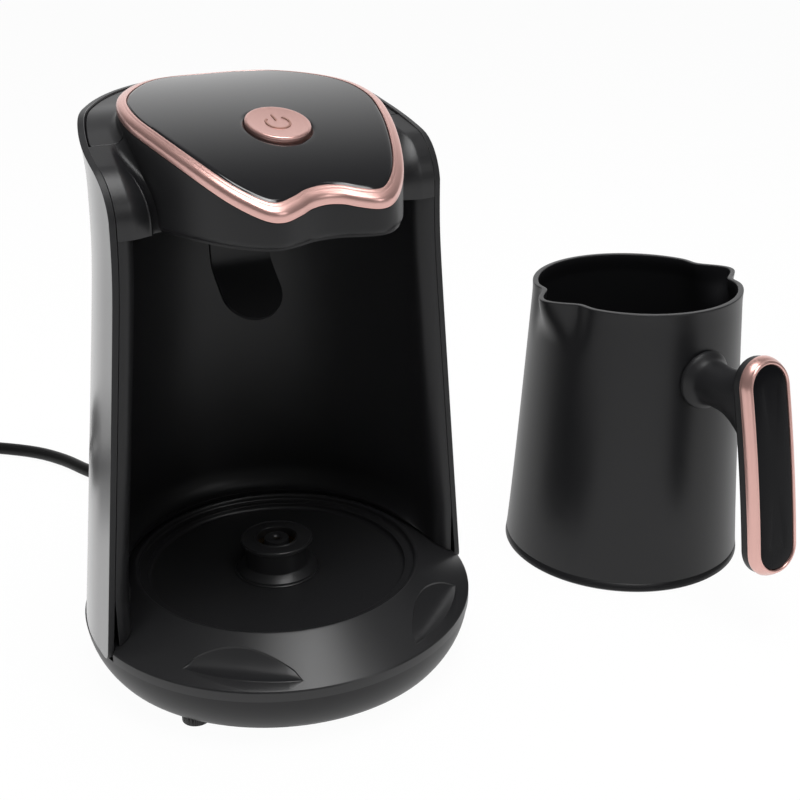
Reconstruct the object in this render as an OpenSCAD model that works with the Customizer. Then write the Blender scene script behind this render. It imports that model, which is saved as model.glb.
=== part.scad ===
// Electric turkish coffee maker: a machine with a head on a half-round column, its pot and its cord.
// Millimetres, Z up. The machine faces -Y. Its own axis is x = 0, y = 0, and every node is then shifted
// so that the origin lies on the floor under the middle of machine and pot.

/* [Base] */
// Radius of the base at its crease
base_r = 79; // [74:0.5:96]
// Height of the crease
crease_z = 24; // [22:0.5:27]
// Height of the joint between the base tub and its cover
joint_z = 20; // [17:0.5:21]
// Clear height under the base
foot_h = 4.5; // [3:0.5:6]
// Radius of one foot
foot_r = 5.5; // [4.5:0.5:7]
// Radius of the circle that the feet stand on
foot_circle_r = 66; // [58:0.5:67]
// Radius of the tray recess at its rim
tray_r = 56.4; // [48:0.2:58]
// Height of the recess rim
rim_z = 36.2; // [33:0.2:44]
// Depth of the recess below its rim
tray_depth = 5.2; // [4:0.2:7]

/* [Connector] */
// Radius of the connector tower
tower_r = 14.8; // [12:0.1:18]
// Height of the tower above the tray floor
tower_h = 14; // [11:0.5:17]
// Radial play of the pot's socket on the tower
dock_clear = 0.5; // [0.3:0.1:1]

/* [Column] */
// Height of the underside of the head
head_z = 183; // [152:1:220]
// How much the column narrows for each millimetre of height
taper = 0.0945; // [0.05:0.005:0.12]
// Depth of the wings in front of the machine's axis, at their foot
wing_y = 16.5; // [12:0.5:20]
// Thickness of the plastic walls
wall = 2.2; // [1.8:0.1:2.8]
// Distance from the outside of the column to the cavity, at the sides
side_gap = 9.5; // [8.5:0.1:12]
// Play between covers that lie side by side
seam = 0.2; // [0.15:0.05:0.4]

/* [Head] */
// Height of the head from its underside to the top of the dome
head_h = 42.25; // [38:0.25:51]
// Radius of the domed top
dome_r = 203.4; // [170:0.1:245]
// Half width of the black top panel
panel_w = 45.1; // [38:0.1:46]
// Width of the metal-coloured ring around the panel
ring_w = 3.7; // [3:0.1:4.5]
// Depth of the ring's side
ring_h = 4.2; // [3.5:0.1:5.1]
// Radius of the button
button_r = 11.8; // [9:0.1:14]
// Distance of the button in front of the machine's axis
button_y = 15.4; // [10:0.1:22]
// Travel of the button
button_travel = 1.2; // [0.8:0.1:1.2]

/* [Pot] */
// Distance of the pot's axis to the right of the machine's axis
pot_x = 178; // [165:1:215]
// Distance of the pot's axis in front of the machine's axis
pot_y = 4.5; // [-30:0.5:30]
// Height of the pot
pot_h = 127.1; // [110:0.1:153]
// Radius of the pot at its foot
pot_foot_r = 54.6; // [50:0.1:55]
// Radius of the pot below its rim
pot_top_r = 45.9; // [40:0.1:48]
// Wall of the pot
pot_wall = 1.6; // [1.2:0.1:2.2]
// How far each spout stands out
spout_out = 6; // [4:0.5:8]
// Height of the pot's inner floor
pot_floor_z = 21.6; // [20:0.2:26]

/* [Handle] */
// Height of the neck's axis
neck_z = 97; // [90:0.5:104]
// Radius of the neck
neck_r = 9.5; // [8:0.1:11]
// Half length of the grip
grip_half_l = 46.5; // [40:0.5:50]
// Half width of the grip
grip_half_w = 12.5; // [11:0.1:14]
// Lean of the grip
grip_lean = 11.8; // [8:0.1:15]
// Thickness of the grip
grip_t = 10; // [9:0.5:13]
// Width of the metal-coloured frame around the inlay
frame_w = 3.2; // [2.4:0.1:4]

/* [Cord] */
// Diameter of the cord
cord_d = 6.5; // [5:0.1:7]
// Height of the cord's way out of the base
cord_z = 13.3; // [13.2:0.1:13.5]
// Length of the strain relief outside the base
relief_l = 31; // [20:1:60]

/* [Hidden] */
$fn = 64;
eps = 0.01;

// ---- Colours
black = [0.05, 0.05, 0.05];
satin = [0.13, 0.13, 0.14];
rose = [0.80, 0.55, 0.50];
brass = [0.78, 0.62, 0.30];
steel = [0.70, 0.71, 0.73];
board_green = [0.10, 0.35, 0.20];

// ---- Small helpers
function mix(a, b, t) = a + (b - a) * t;
function ease(a, b, x) = let (t = min(1, max(0, (x - a) / (b - a)))) t * t * (3 - 2 * t);
function flat(rows) = [for (r = rows) each r];
function arc(cx, cy, r, a0, a1, n) =
    [for (i = [0 : n]) let (a = mix(a0, a1, i / n)) [cx + r * cos(a), cy + r * sin(a)]];
function mirrored(pts) = [for (i = [len(pts) - 1 : -1 : 0]) [-pts[i][0], pts[i][1]]];

// Extrudes a drawing whose x and y are the machine's Y and Z along X, centred
module along_x(length) {
    translate([-length / 2, 0, 0]) rotate([90, 0, 90]) linear_extrude(length) children();
}
// Extrudes a drawing whose x and y are the machine's X and Z along -Y from y = from
module along_y(from, length) {
    translate([0, from, 0]) rotate([90, 0, 0]) linear_extrude(length) children();
}
// Turns a profile of radius and height about the line along Y through the cord's way out
module turned_along_y(x, z) {
    translate([x, 0, z]) rotate([-90, 0, 0]) rotate_extrude() children();
}
module tube(r, bore, h) {
    difference() {
        cylinder(r = r, h = h);
        translate([0, 0, -eps]) cylinder(r = bore, h = h + 2 * eps);
    }
}
// A pan-head screw along +Z, its head below z = 0
module screw(shank_r, length, head_r, head_h) {
    translate([0, 0, -eps]) cylinder(r = shank_r, h = length, $fn = 24);
    translate([0, 0, -head_h]) difference() {
        cylinder(r = head_r, h = head_h, $fn = 32);
        translate([-head_r * 0.6, -0.3, -eps]) cube([head_r * 1.2, 0.6, head_h * 0.5]);
        translate([-0.3, -head_r * 0.6, -eps]) cube([0.6, head_r * 1.2, head_h * 0.5]);
    }
}

// ---- Grids of points joined into one closed skin
// Triangles over a grid of rows x cols points that starts at index o
function grid_faces(rows, cols, o, back) = [
    for (i = [0 : rows - 2]) for (j = [0 : cols - 2])
        let (a = o + i * cols + j, b = a + 1, c = a + cols + 1, d = a + cols)
            each (back ? [[a, b, c], [a, c, d]] : [[a, c, b], [a, d, c]])];
// Indices around the border of such a grid
function border(rows, cols) = concat(
    [for (j = [0 : cols - 1]) j],
    [for (i = [1 : rows - 1]) i * cols + cols - 1],
    [for (j = [cols - 2 : -1 : 0]) (rows - 1) * cols + j],
    [for (i = [rows - 2 : -1 : 1]) i * cols]);
// A wall between a front grid and a back grid of the same size
module slab(front, back) {
    rows = len(front);
    cols = len(front[0]);
    n = rows * cols;
    rim = border(rows, cols);
    polyhedron(
        points = concat(flat(front), flat(back)),
        faces = concat(
            grid_faces(rows, cols, 0, false),
            grid_faces(rows, cols, n, true),
            [for (k = [0 : len(rim) - 1]) let (a = rim[k], b = rim[(k + 1) % len(rim)])
                each [[a, b, b + n], [a, b + n, a + n]]]),
        convexity = 8);
}
// A solid from closed rings of equal size, each joined to the next, with flat ends
module loft(rings) {
    m = len(rings[0]);
    n = len(rings);
    polyhedron(
        points = flat(rings),
        faces = concat(
            [for (i = [0 : n - 2]) for (j = [0 : m - 1])
                let (a = i * m + j, b = i * m + (j + 1) % m, c = b + m, d = a + m)
                    each [[a, c, b], [a, d, c]]],
            [[for (j = [0 : m - 1]) j], [for (j = [m - 1 : -1 : 0]) (n - 1) * m + j]]),
        convexity = 8);
}
// Rings of a round tube of diameter d along points, sides to each ring
function sweep_rings(p, d, sides) = [
    for (i = [0 : len(p) - 1])
        let (t = p[min(i + 1, len(p) - 1)] - p[max(i - 1, 0)], w = t / norm(t),
             s = cross(w, abs(w[2]) > 0.9 ? [1, 0, 0] : [0, 0, 1]), u = s / norm(s), v = cross(u, w))
            [for (k = [0 : sides - 1]) p[i] + d / 2 * (cos(360 * k / sides) * u + sin(360 * k / sides) * v)]];
function catmull(a, b, c, d, t) =
    0.5 * (2 * b + (c - a) * t + (2 * a - 5 * b + 4 * c - d) * t * t + (3 * b - a - 3 * c + d) * t * t * t);
// A smooth open line through points, n steps to each stretch
function smooth_line(p, n) = concat(
    [for (i = [0 : len(p) - 2]) for (j = [0 : n - 1])
        catmull(p[max(i - 1, 0)], p[i], p[i + 1], p[min(i + 2, len(p) - 1)], j / n)],
    [p[len(p) - 1]]);
function reversed(p) = [for (i = [len(p) - 1 : -1 : 0]) p[i]];
function smooth_loop(p, n) = let (m = len(p)) [
    for (i = [0 : m - 1]) for (j = [0 : n - 1])
        catmull(p[(i + m - 1) % m], p[i], p[(i + 1) % m], p[(i + 2) % m], j / n)];

// ---- Base
bowl_drop = 17.5;                          // how far the tub's side curves in above its underside
bowl_r = 28.6;                             // radius of that curve
bowl_c = [base_r - 28.8, foot_h + bowl_drop];
tray_z = rim_z - tray_depth;
rim_edge = 1.2;                            // rounding of the recess rim
tray_fillet = 2.2;
cover_gap = 0.7;                           // room for the column's foot around the cover
cover_slope = (rim_z - rim_edge * (1 - sin(60)) - crease_z) / (base_r - tray_r - rim_edge * (1 + cos(60)));
function cone_z(r) = crease_z + (base_r - r) * cover_slope;
dish_angle = 35.85;                        // places of the two finger dishes, from the front
dish_at = base_r - 9.5;
dish_r = 14.5;
dish_depth = 1.8;
boss_circle_r = 50;                        // circle of the four cover screws
boss_r = 3.6;
boss_z = 14;                               // where a tub boss meets a cover boss
screw_r = 1.5;
pin_bore_r = 1.6;
contact_in = 6.2;                          // inner face of the inner contact ring
contact_out = 8.6;                         // outer face of the outer one
contact_t = 0.5;
groove_z = 7;                              // floor of their groove, above the tray floor
barrel_r = tower_r - 2.8;                  // lower barrel of the tower, through the tray floor
barrel_z = tray_z - 11;
nut_h = 2.6;
cord_boss_r = 6.4;
cord_boss_in = 72;                         // inner face of the boss around the cord, from the axis
relief_neck_r = 4.7;
board_seat_z = 11;
stem_r = 2.6;                              // stem of a rubber foot, through the tub's floor
// Angles of the feet, measured from +X
foot_angles = [36, 144, 216, 324];
boss_angles = [30, 150, 238, 302];

// ---- Column
shell_foot_z = joint_z + 0.5;
straight_z = head_z - 11;                  // where the taper ends
function lean_of(z) = (sqrt(pow(straight_z - z, 2) + 144) + straight_z - z) / 2;
function flare(z) = z > head_z + 6 ? 3.8 * pow((z - head_z - 6) / 30, 3) : 0;
// Half width of the column at a height, which is also its depth behind the axis
function shell_a(z) = base_r - taper * (lean_of(shell_foot_z) - lean_of(z)) + flare(z);
// Where its straight sides end and its half-round back begins
function shell_yc(z) = -4 - 8 * (z - 25) / 165;
// Plane of the wings' front faces
function front_y(z) = -wing_y - 0.018 * (z - 25);
shell_t = wall + 0.2;
strip_in = shell_t + seam;                 // outer edge of the wing strip, from the outside of the shell
strip_end = 6;                             // inner edge of its flat face
chamfer = 3.8;
liner_foot_r = 61;                         // where the cavity's rounded foot meets the recess
liner_foot_z = rim_z + 0.2;
liner_fillet = 10;
liner_top_z = head_z - 0.3;

// ---- Line of the column's top, seen from the side
roof_rise = 25.2;                          // above the head's underside, over the machine's axis
roof_slope = 0.33;
function roof_z(y) = head_z + mix(roof_rise + roof_slope * y, roof_rise + 5.8 + 0.125 * y, ease(16, 38, y));
// The rounded corner between the front face and that slope
corner_r = 20;
face_y = front_y(head_z + 10);
corner_y = face_y + corner_r;
corner_z = head_z + roof_rise + roof_slope * corner_y - corner_r / cos(atan(roof_slope));
corner_end = corner_y - corner_r * sin(atan(roof_slope));
function top_z(y) = y >= corner_end ? roof_z(y)
    : corner_z + sqrt(max(0, corner_r * corner_r - pow(y - corner_y, 2)));
split_y = 6.5;                             // joint between the shoulder covers and the top cover

// ---- Head
dome_c = [46.7, head_z + head_h - dome_r];
function dome_z(y) = dome_c[1] + sqrt(dome_r * dome_r - pow(y - dome_c[0], 2));
ring_gap = 0.3;                            // dark line between panel and ring
tub_out = ring_w + 0.1;                    // the housing's outside, from the panel's edge
panel_t = 2.2;
flange_t = 3;
button_z = dome_z(-button_y);
button_tilt = asin((dome_c[0] + button_y) / dome_r);
button_gap = 0.4;
button_edge = 0.4;
button_proud = 1.4;
// Depths below the dome along the button's axis
cap_depth = 2.8;
flange_depth = 4;
stem_depth = 9.3;
board_depth = 14;
board_t = 1.6;
switch_floor = 0.8;                        // under the hole that the plunger sinks into
plunger_depth = board_depth - switch_floor - button_travel - 0.1;
board_size = [46, 34];
board_post = [19, 13];
// Half outline of the panel from the middle of its back to the middle of its front
panel_half = [[0, 46.5], [16.4, 45.5], [27, 39.5], [37.7, 27], [43.6, 15], [45.1, 1], [42.6, -12.4],
              [38.5, -25.4], [33.5, -37.4], [28.7, -45.6], [22.8, -51.8], [18.3, -53.4], [12.3, -51.8],
              [6.7, -49.6], [0, -48.7]];
panel_loop = let (k = panel_w / 45.1, h = k * panel_half, n = len(h))
    smooth_loop(concat(h, [for (i = [n - 2 : -1 : 1]) [-h[i][0], h[i][1]]]), 3);
// The panel's outline, moved outwards by d
function outline(d) = let (m = len(panel_loop)) [
    for (i = [0 : m - 1])
        let (t = panel_loop[(i + 1) % m] - panel_loop[(i + m - 1) % m])
            panel_loop[i] + d / norm(t) * [-t[1], t[0]]];
boss_out = panel_w + 10.9;                 // places of the head's screws
head_bosses = [[-boss_out, -5], [boss_out, -5], [-boss_out + 0.6, 13], [boss_out - 0.6, 13]];
head_boss_r = 2.8;

// ---- Sensor hood
hood_w = 12.3;
hood_t = 1.8;
hood_line = [[23.3, head_z], [23.3, head_z - 25], [21, head_z - 29], [4.7, head_z - 44.6]];

// ---- Pot
pot_pos = [pot_x, -pot_y, 0];
skirt_z = 4.3;                             // joint between the foot ring and the body
lip_out = 0.4;
pot_bottom_t = 1.6;
function pot_r(z) = mix(pot_foot_r, pot_top_r, pow(z / pot_h, 0.86))
    + lip_out * pow(max(0, (z - pot_h + 7) / 7), 2);
// Two pouring lips, to the left and to the right
function spout(a, z) = spout_out * ease(pot_h - 20, pot_h, z) * exp(-pow((90 - abs(90 - abs(a))) / 11, 2));
function pot_ring(z, inset, sides = 56) = [
    for (k = [0 : sides - 1])
        let (a = mix(-180, 180, k / sides), r = pot_r(z) - inset + spout(a, z)) [r * cos(a), r * sin(a), z]];
// Outside of the foot ring's rim, inside the body
body_in = pot_r(pot_floor_z - pot_bottom_t) - pot_wall - 0.3;
skirt_in = body_in - 1.4;
socket_r = tower_r + dock_clear;
socket_h = tower_h + 0.5;
contact_depth = 4.5;                       // how far the pot's contacts hang into the socket
socket_step = socket_h - contact_depth - 0.4; // above it the socket is a little narrower
plate_t = 2;
plate_z = pot_floor_z - pot_bottom_t - plate_t;
element_r = 3.2;
element_ring_r = 32;
pot_boss_r = 39;                           // circle of the pot's four base screws

// ---- Handle
grip_mid = [0, -92.9, neck_z - 24];        // middle of the grip's front face, from the pot's axis
grip_bow_r = 700;
frame_t = 6;
collar_r = neck_r + 3.5;
wall_y = pot_r(neck_z);
// Where the neck ends, behind the inlay
neck_end = -grip_mid[1] - (neck_z - grip_mid[2]) * tan(grip_lean) - (frame_t + 0.6) / cos(grip_lean);
bolt_r = 2;
stud_r = 5;                                // welded boss on the pot's wall that takes the bolt
stud_l = 7;
// How far the grip reaches in front of the pot's axis, at its lower end
grip_reach = -grip_mid[1] + grip_half_l * sin(grip_lean)
           - pow(grip_half_l, 2) / 2 / grip_bow_r * cos(grip_lean);

// ---- Cord: way along the floor, then the coil and the plug
relief_end = base_r + relief_l;
floor_z = cord_d / 2;
cord_route = [[0, relief_end + 0.1, cord_z], [0, relief_end + 10, cord_z - 1],
              [-1, relief_end + 24, floor_z + 4],
              [-4, 148, floor_z], [-14, 168, floor_z], [-23, 186, floor_z], [-30, 205, floor_z],
              [-40, 222, floor_z], [-56, 238, floor_z], [-74, 251, floor_z], [-92, 259, floor_z + 0.5],
              [-110, 261.5, floor_z + 1]];
coil_r = 37.5;
coil_mid = [-110, 224];
coil_turns = 3.25;
coil_pitch = 6.8;
coil_z = 1;                                // the tie lies under the coil
coil_h = coil_turns * coil_pitch + cord_d;
tail_z = coil_z + coil_h - cord_d / 2;
plug_axis_z = 18.5;
plug_back_y = 196;
cord_tail_route = [[coil_mid[0] - coil_r, coil_mid[1], tail_z], [coil_mid[0] - coil_r, 214, tail_z - 1],
                   [coil_mid[0] - coil_r, 205, plug_axis_z + 1.4],
                   [coil_mid[0] - coil_r, plug_back_y, plug_axis_z]];

// ---- Where the whole object stands
place = [-(pot_x + pot_foot_r - base_r) / 2, -(base_r - pot_y - grip_reach) / 2, 0];
module placed() { translate(place) children(); }
module at_pot() { translate(pot_pos) children(); }
module at_angles(r, angles) {
    for (a = angles) rotate([0, 0, a]) translate([r, 0, 0]) rotate([0, 0, -a]) children();
}

// ================================================================ Base

// Side view of the tub's curved wall at an inset, from its top down to a height
function bowl_line(inset, top, bottom) =
    arc(bowl_c[0], bowl_c[1], bowl_r - inset,
        asin((top - bowl_c[1]) / (bowl_r - inset)), asin((bottom - bowl_c[1]) / (bowl_r - inset)), 8);

module base_tub() {
    color(black) difference() {
        union() {
            rotate_extrude($fn = 96) polygon(concat(
                bowl_line(0, joint_z, foot_h), [[0, foot_h], [0, foot_h + wall]],
                reversed(bowl_line(wall, joint_z, foot_h + wall))));
            turned_along_y(0, cord_z) translate([relief_neck_r + 0.2, cord_boss_in])
                square([cord_boss_r - relief_neck_r - 0.2, base_r - cord_boss_in]);
            at_angles(boss_circle_r, boss_angles) translate([0, 0, foot_h + eps])
                cylinder(r = boss_r + 0.6, h = boss_z - foot_h - eps);
            for (x = [-26, 26], y = [22, 46]) translate([x, y, foot_h + eps])
                cylinder(r = 2.5, h = board_seat_z - foot_h - eps);
        }
        turned_along_y(0, cord_z) square([relief_neck_r + 0.2, base_r + 1]);
        at_angles(boss_circle_r, boss_angles) {
            translate([0, 0, foot_h - 1]) cylinder(r = 3.2, h = boss_z - foot_h - 1);
            cylinder(r = screw_r + 0.1, h = boss_z + 1);
        }
        at_angles(foot_circle_r, foot_angles) cylinder(r = stem_r + 0.1, h = foot_h + wall + 1);
    }
}

module base_cover() {
    color(satin) difference() {
        union() {
            rotate_extrude($fn = 96) polygon(concat(
                [[base_r - 0.2, joint_z + 0.15], [base_r, crease_z]],
                arc(tray_r + rim_edge, rim_z - rim_edge, rim_edge, 60, 180, 5),
                arc(tray_r - tray_fillet, tray_z + tray_fillet, tray_fillet, 0, -90, 4),
                [[0, tray_z], [0, tray_z - wall], [tray_r + 0.6, tray_z - wall],
                 [tray_r + wall, rim_z - wall - 1.2], [base_r - wall - 1.2, crease_z - wall],
                 [base_r - wall - 0.2, joint_z + 0.15]]));
            at_angles(boss_circle_r, boss_angles) translate([0, 0, boss_z + 0.1])
                cylinder(r = boss_r, h = tray_z - wall - boss_z);
        }
        translate([0, 0, barrel_z]) cylinder(r = barrel_r + 0.3, h = 20);
        at_angles(boss_circle_r, boss_angles) cylinder(r = screw_r + 0.05, h = boss_z + 10);
        // the column stands around the cover
        translate([0, 0, joint_z - 1]) linear_extrude(30) difference() {
            translate([-base_r - 5, front_y(crease_z) - 0.3]) square([2 * base_r + 10, 2 * base_r]);
            polygon(shell_row(shell_foot_z, shell_t + cover_gap));
            translate([-base_r + shell_t + cover_gap, -wing_y - 5])
                square([2 * (base_r - shell_t - cover_gap), 10]);
        }
        // the loom passes behind the cavity
        translate([loom_x, loom_y(30), joint_z - 1]) cylinder(r = 2.8, h = 30);
        for (s = [-1, 1]) finger_dish(s * dish_angle);
    }
}
// A shallow dish in the cover's slope, a thumb wide
module finger_dish(angle) {
    lift = dish_r - dish_depth;
    lean = atan(cover_slope);
    rotate([0, 0, angle]) translate([0, -dish_at - lift * sin(lean), cone_z(dish_at) + lift * cos(lean)])
        rotate([0, 90, 0]) cylinder(r = dish_r, h = base_r, center = true, $fn = 96);
}

module feet() {
    color([0.08, 0.08, 0.08]) at_angles(foot_circle_r, foot_angles) {
        cylinder(r = foot_r, h = foot_h);
        cylinder(r = stem_r, h = foot_h + wall + 0.1);
        translate([0, 0, foot_h + wall + 0.05]) cylinder(r = stem_r + 0.8, h = 1.2);
    }
}

module base_screws() {
    color(steel) at_angles(boss_circle_r, boss_angles) translate([0, 0, boss_z - 2])
        screw(screw_r, 10, 2.8, 1.8);
}

module connector_tower() {
    groove_in = contact_in - 0.7;
    groove_out = contact_out + 1;
    color(black) translate([0, 0, tray_z]) rotate_extrude() polygon(concat(
        [[pin_bore_r, tower_h - 0.8], [pin_bore_r + 0.8, tower_h], [groove_in, tower_h],
         [groove_in, groove_z], [groove_out, groove_z], [groove_out, tower_h + 0.5],
         [groove_out + 0.9, tower_h + 0.5], [groove_out + 0.9, tower_h]],
        arc(tower_r - 1, tower_h - 1, 1, 90, 0, 4),
        arc(tower_r + 2.6, 2.65, 2.6, 180, 270, 5),
        [[tower_r + 2.6, 0.05], [barrel_r, 0.05], [barrel_r, -11], [pin_bore_r, -11]]));
}
module tower_nut() {
    color(satin) translate([0, 0, tray_z - wall - nut_h - 0.1]) tube(barrel_r + 4.5, barrel_r + 0.1, nut_h);
}

module contact_rings() {
    color(brass) translate([0, 0, tray_z + groove_z]) {
        tube(contact_in + contact_t, contact_in, 4);
        tube(contact_out, contact_out - contact_t, 4);
    }
}

module centre_pin() {
    color(brass) translate([0, 0, tray_z - 8]) {
        cylinder(r = pin_bore_r - 0.05, h = 6);
        cylinder(r = 1.1, h = 8 + tower_h - 2);
    }
}

module power_board() {
    color(board_green) translate([-30, 17, board_seat_z]) cube([60, 34, board_t]);
    color(satin) translate([-20, 30, board_seat_z + board_t]) cylinder(r = 5, h = 11);
    color(steel) translate([12, 20, board_seat_z + board_t]) cube([14, 6, 10]);
}

module relay() {
    color(satin) translate([-8, 26, board_seat_z + board_t]) cube([19, 15.5, 12]);
}

module terminal_block() {
    color([0.85, 0.85, 0.82]) translate([-12, 52, foot_h + wall]) difference() {
        cube([24, 9, 12]);
        for (x = [4, 12, 20]) translate([x, 4.5, 8]) cylinder(r = 2, h = 5, $fn = 24);
    }
}

module mains_leads() {
    for (i = [-1 : 1]) color(i < 0 ? [0.35, 0.2, 0.1] : i > 0 ? [0.1, 0.25, 0.6] : [0.3, 0.6, 0.2])
        translate([i * 2.6, 61, cord_z]) rotate([-90, 0, 0])
            cylinder(r = 1.1, h = cord_boss_in - 2 - 61, $fn = 24);
}

// ================================================================ Column

back_steps = 44;
// Plan of the column at a height, from the left front edge around the back to the right front edge;
// only its sides flare at the top
function shell_row(z, inset) =
    let (a = shell_a(z) - inset, b = a - flare(z), yc = shell_yc(z), yf = front_y(z)) concat(
    [[-a, yf], [-a, mix(yf, yc, 0.5)]],
    [for (k = [0 : back_steps]) let (t = 180 * k / back_steps) [-a * cos(t), yc + (b - yc) * sin(t)]],
    [[a, mix(yf, yc, 0.5)], [a, yf]]);
shell_cols = back_steps + 5;
// Height of the column's top above each place of that plan
function lip_z(j, inset) =
    let (p = shell_row(head_z + 30, inset)[j], q = shell_row(top_z(p[1]), inset)[j]) top_z(q[1]);
shell_rows = 15;
function shell_grid(inset) = [
    for (i = [0 : shell_rows])
        [for (j = [0 : shell_cols - 1])
            let (z = mix(shell_foot_z, lip_z(j, inset), i / shell_rows), p = shell_row(z, inset)[j])
                [p[0], p[1], z]]];

module outer_shell() {
    color(satin) slab(shell_grid(0), shell_grid(shell_t));
}

cavity_steps = 30;
// Plan of the wing strips and the cavity wall at a height; t is the depth below the visible face
function liner_row(z, t) = let (
    a = shell_a(z), yc = shell_yc(z), yf = front_y(z), w = a - side_gap + t, back = a - side_gap + 0.5 + t,
    left = [[-(a - strip_in), yf + t], [-(a - strip_end + 0.41 * t), yf + t],
            [-(a - (strip_end + side_gap) / 2 + 0.75 * t), yf + 0.45 * chamfer + 0.75 * t],
            [-w, yf + chamfer + 0.41 * t]])
    concat(left,
        [for (k = [0 : cavity_steps])
            let (s = 180 * k / cavity_steps) [-w * cos(s), yc + (back - yc) * sin(s)]],
        mirrored(left));
liner_cols = cavity_steps + 9;
// How much of the rounded foot a place of the plan has: none on the wings, all of it at the back
function foot_share(p) = ease(-wing_y + 5, 8, p[1]);
function liner_point(j, i, t) = let (
    base = liner_row(liner_foot_z + liner_fillet, t)[j],
    s = foot_share(liner_row(liner_foot_z + liner_fillet, 0)[j]),
    low = mix(cone_z(norm(base)) + 0.3, liner_foot_z, s) - 0.8 * t * s, turn = 90 - 30 * i,
    inward = s * (1 - cos(turn)), goal = base / norm(base) * liner_foot_r)
    i < 3 ? let (p = mix(base, goal, inward), z = mix(low, liner_foot_z + liner_fillet, 1 - sin(turn)))
            [p[0], p[1], z]
          : let (z = mix(liner_foot_z + liner_fillet, liner_top_z, (i - 3) / (liner_rows - 3)),
                 p = liner_row(z, t)[j])
                [p[0], p[1], z];
liner_rows = 13;
function liner_grid(t) = [for (i = [0 : liner_rows]) [for (j = [0 : liner_cols - 1]) liner_point(j, i, t)]];

module cavity_liner() {
    color(black) slab(liner_grid(wall - 0.2), liner_grid(0));
}

// Side view of the column's top line from y0 to y1, moved inwards by t
function top_line(y0, y1, t) = concat(
    y0 < corner_end ? arc(corner_y, corner_z, corner_r - t, 180, 90 + atan(roof_slope), 8) : [],
    [for (k = [0 : 12]) let (y = mix(max(y0, corner_end + 1), y1, k / 12)) [y, roof_z(y) - t]]);
module top_band(y0, y1, low) {
    foot = y0 < corner_end ? [[face_y + wall, low], [face_y, low]] : [];
    polygon(concat(foot, top_line(y0, y1, 0), reversed(top_line(y0, y1, wall))));
}
// Front view of one shoulder, out to the strip's edge, with the rounded corner of the opening below it
module shoulder_front() {
    steps = 8;
    edge = [for (k = [0 : steps]) let (z = mix(head_z, head_z + 30, k / steps)) [shell_a(z) - strip_in, z]];
    corner_x = shell_a(head_z) - side_gap - 0.4;
    polygon(concat(edge, [[30, head_z + 30], [30, head_z + 0.2]],
        [for (k = [0 : 4]) let (u = 90 * k / 4) [corner_x - 5 * (1 - sin(u)), head_z + 0.2 - 8 * (1 - cos(u))]],
        [[corner_x, head_z]]));
}
module head_well(clear) {
    translate([0, 0, head_z - 1]) linear_extrude(60) polygon(outline(tub_out + clear));
}
// Everything inside the shell's lip, kept clear of it by inset
module lip_prism(inset) {
    linear_extrude(head_z + 60) polygon([for (j = [0 : shell_cols - 1]) shell_row(lip_z(j, inset), inset)[j]]);
}
module head_boss(p) {
    translate([p[0], p[1], head_z + flange_t + 0.2])
        tube(head_boss_r, screw_r - 0.2, top_z(p[1] - head_boss_r) - wall / 2 - head_z - flange_t);
}

module shoulder_covers() {
    color(satin) for (s = [0, 1]) mirror([s, 0, 0]) {
        difference() {
            intersection() {
                along_x(200) top_band(face_y, split_y - seam / 2, head_z - 9);
                along_y(40, 80) shoulder_front();
                lip_prism(strip_in + 0.1);
            }
            head_well(0.3);
        }
        head_boss(head_bosses[1]);
    }
}

module top_cover() {
    color(satin) {
        difference() {
            intersection() {
                along_x(200) top_band(split_y + seam / 2, base_r, head_z);
                lip_prism(shell_t + 0.6);
            }
            head_well(0.3);
        }
        head_boss(head_bosses[2]);
        head_boss(head_bosses[3]);
    }
}

loom_x = 18;
loom_d = 3.2;
// The loom climbs midway between the cavity's wall and the shell
function loom_y(z) = let (a = shell_a(z) - (shell_t + side_gap - wall - 0.3) / 2, yc = shell_yc(z))
    yc + (a - yc) * sqrt(1 - pow(loom_x / a, 2));
module wiring_loom() {
    rise = [for (k = [0 : 9]) let (z = mix(joint_z + 6, head_z + 4, k / 9)) [loom_x, loom_y(z), z]];
    seat = board_seat_z + board_t + loom_d / 2 + 0.1;
    route = concat([[loom_x, 46, seat], [loom_x, 58, seat], [loom_x, loom_y(joint_z) - 5, seat + 3]], rise,
        [[loom_x, loom_y(head_z) - 2, head_z + 8], [loom_x, loom_y(head_z) - 7, head_z + 9.5],
         [loom_x, 40, head_z + 10], [loom_x, 22, head_z + 14], [loom_x, 9, head_z + 17]]);
    color([0.2, 0.2, 0.22]) loft(sweep_rings(route, loom_d, 8));
}

// ================================================================ Head

module dome(depth) {
    translate([0, dome_c[0], dome_c[1]]) rotate([0, 90, 0])
        cylinder(r = dome_r - depth, h = 200, center = true, $fn = 360);
}
module head_prism(d, low = head_z) { translate([0, 0, low]) linear_extrude(60) polygon(outline(d)); }
// The layer between two depths below the dome
module dome_band(top, bottom) {
    reach = asin(110 / dome_r);
    line = arc(0, 0, 1, 90 + reach, 90 - reach / 8, 20);
    along_x(200) translate(dome_c) polygon(concat((dome_r - top) * line, (dome_r - bottom) * reversed(line)));
}
module head_band(out, in) {
    translate([0, 0, head_z]) linear_extrude(60) difference() {
        polygon(outline(out));
        polygon(outline(in));
    }
}
module on_button_axis(depth = 0) {
    translate([0, -button_y, button_z]) rotate([button_tilt, 0, 0]) translate([0, 0, -depth]) children();
}
module board_posts() {
    for (x = [-1, 1], y = [-1, 1]) on_button_axis(board_depth + board_t + 26)
        translate([x * board_post[0], y * board_post[1], 0]) children();
}

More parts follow.
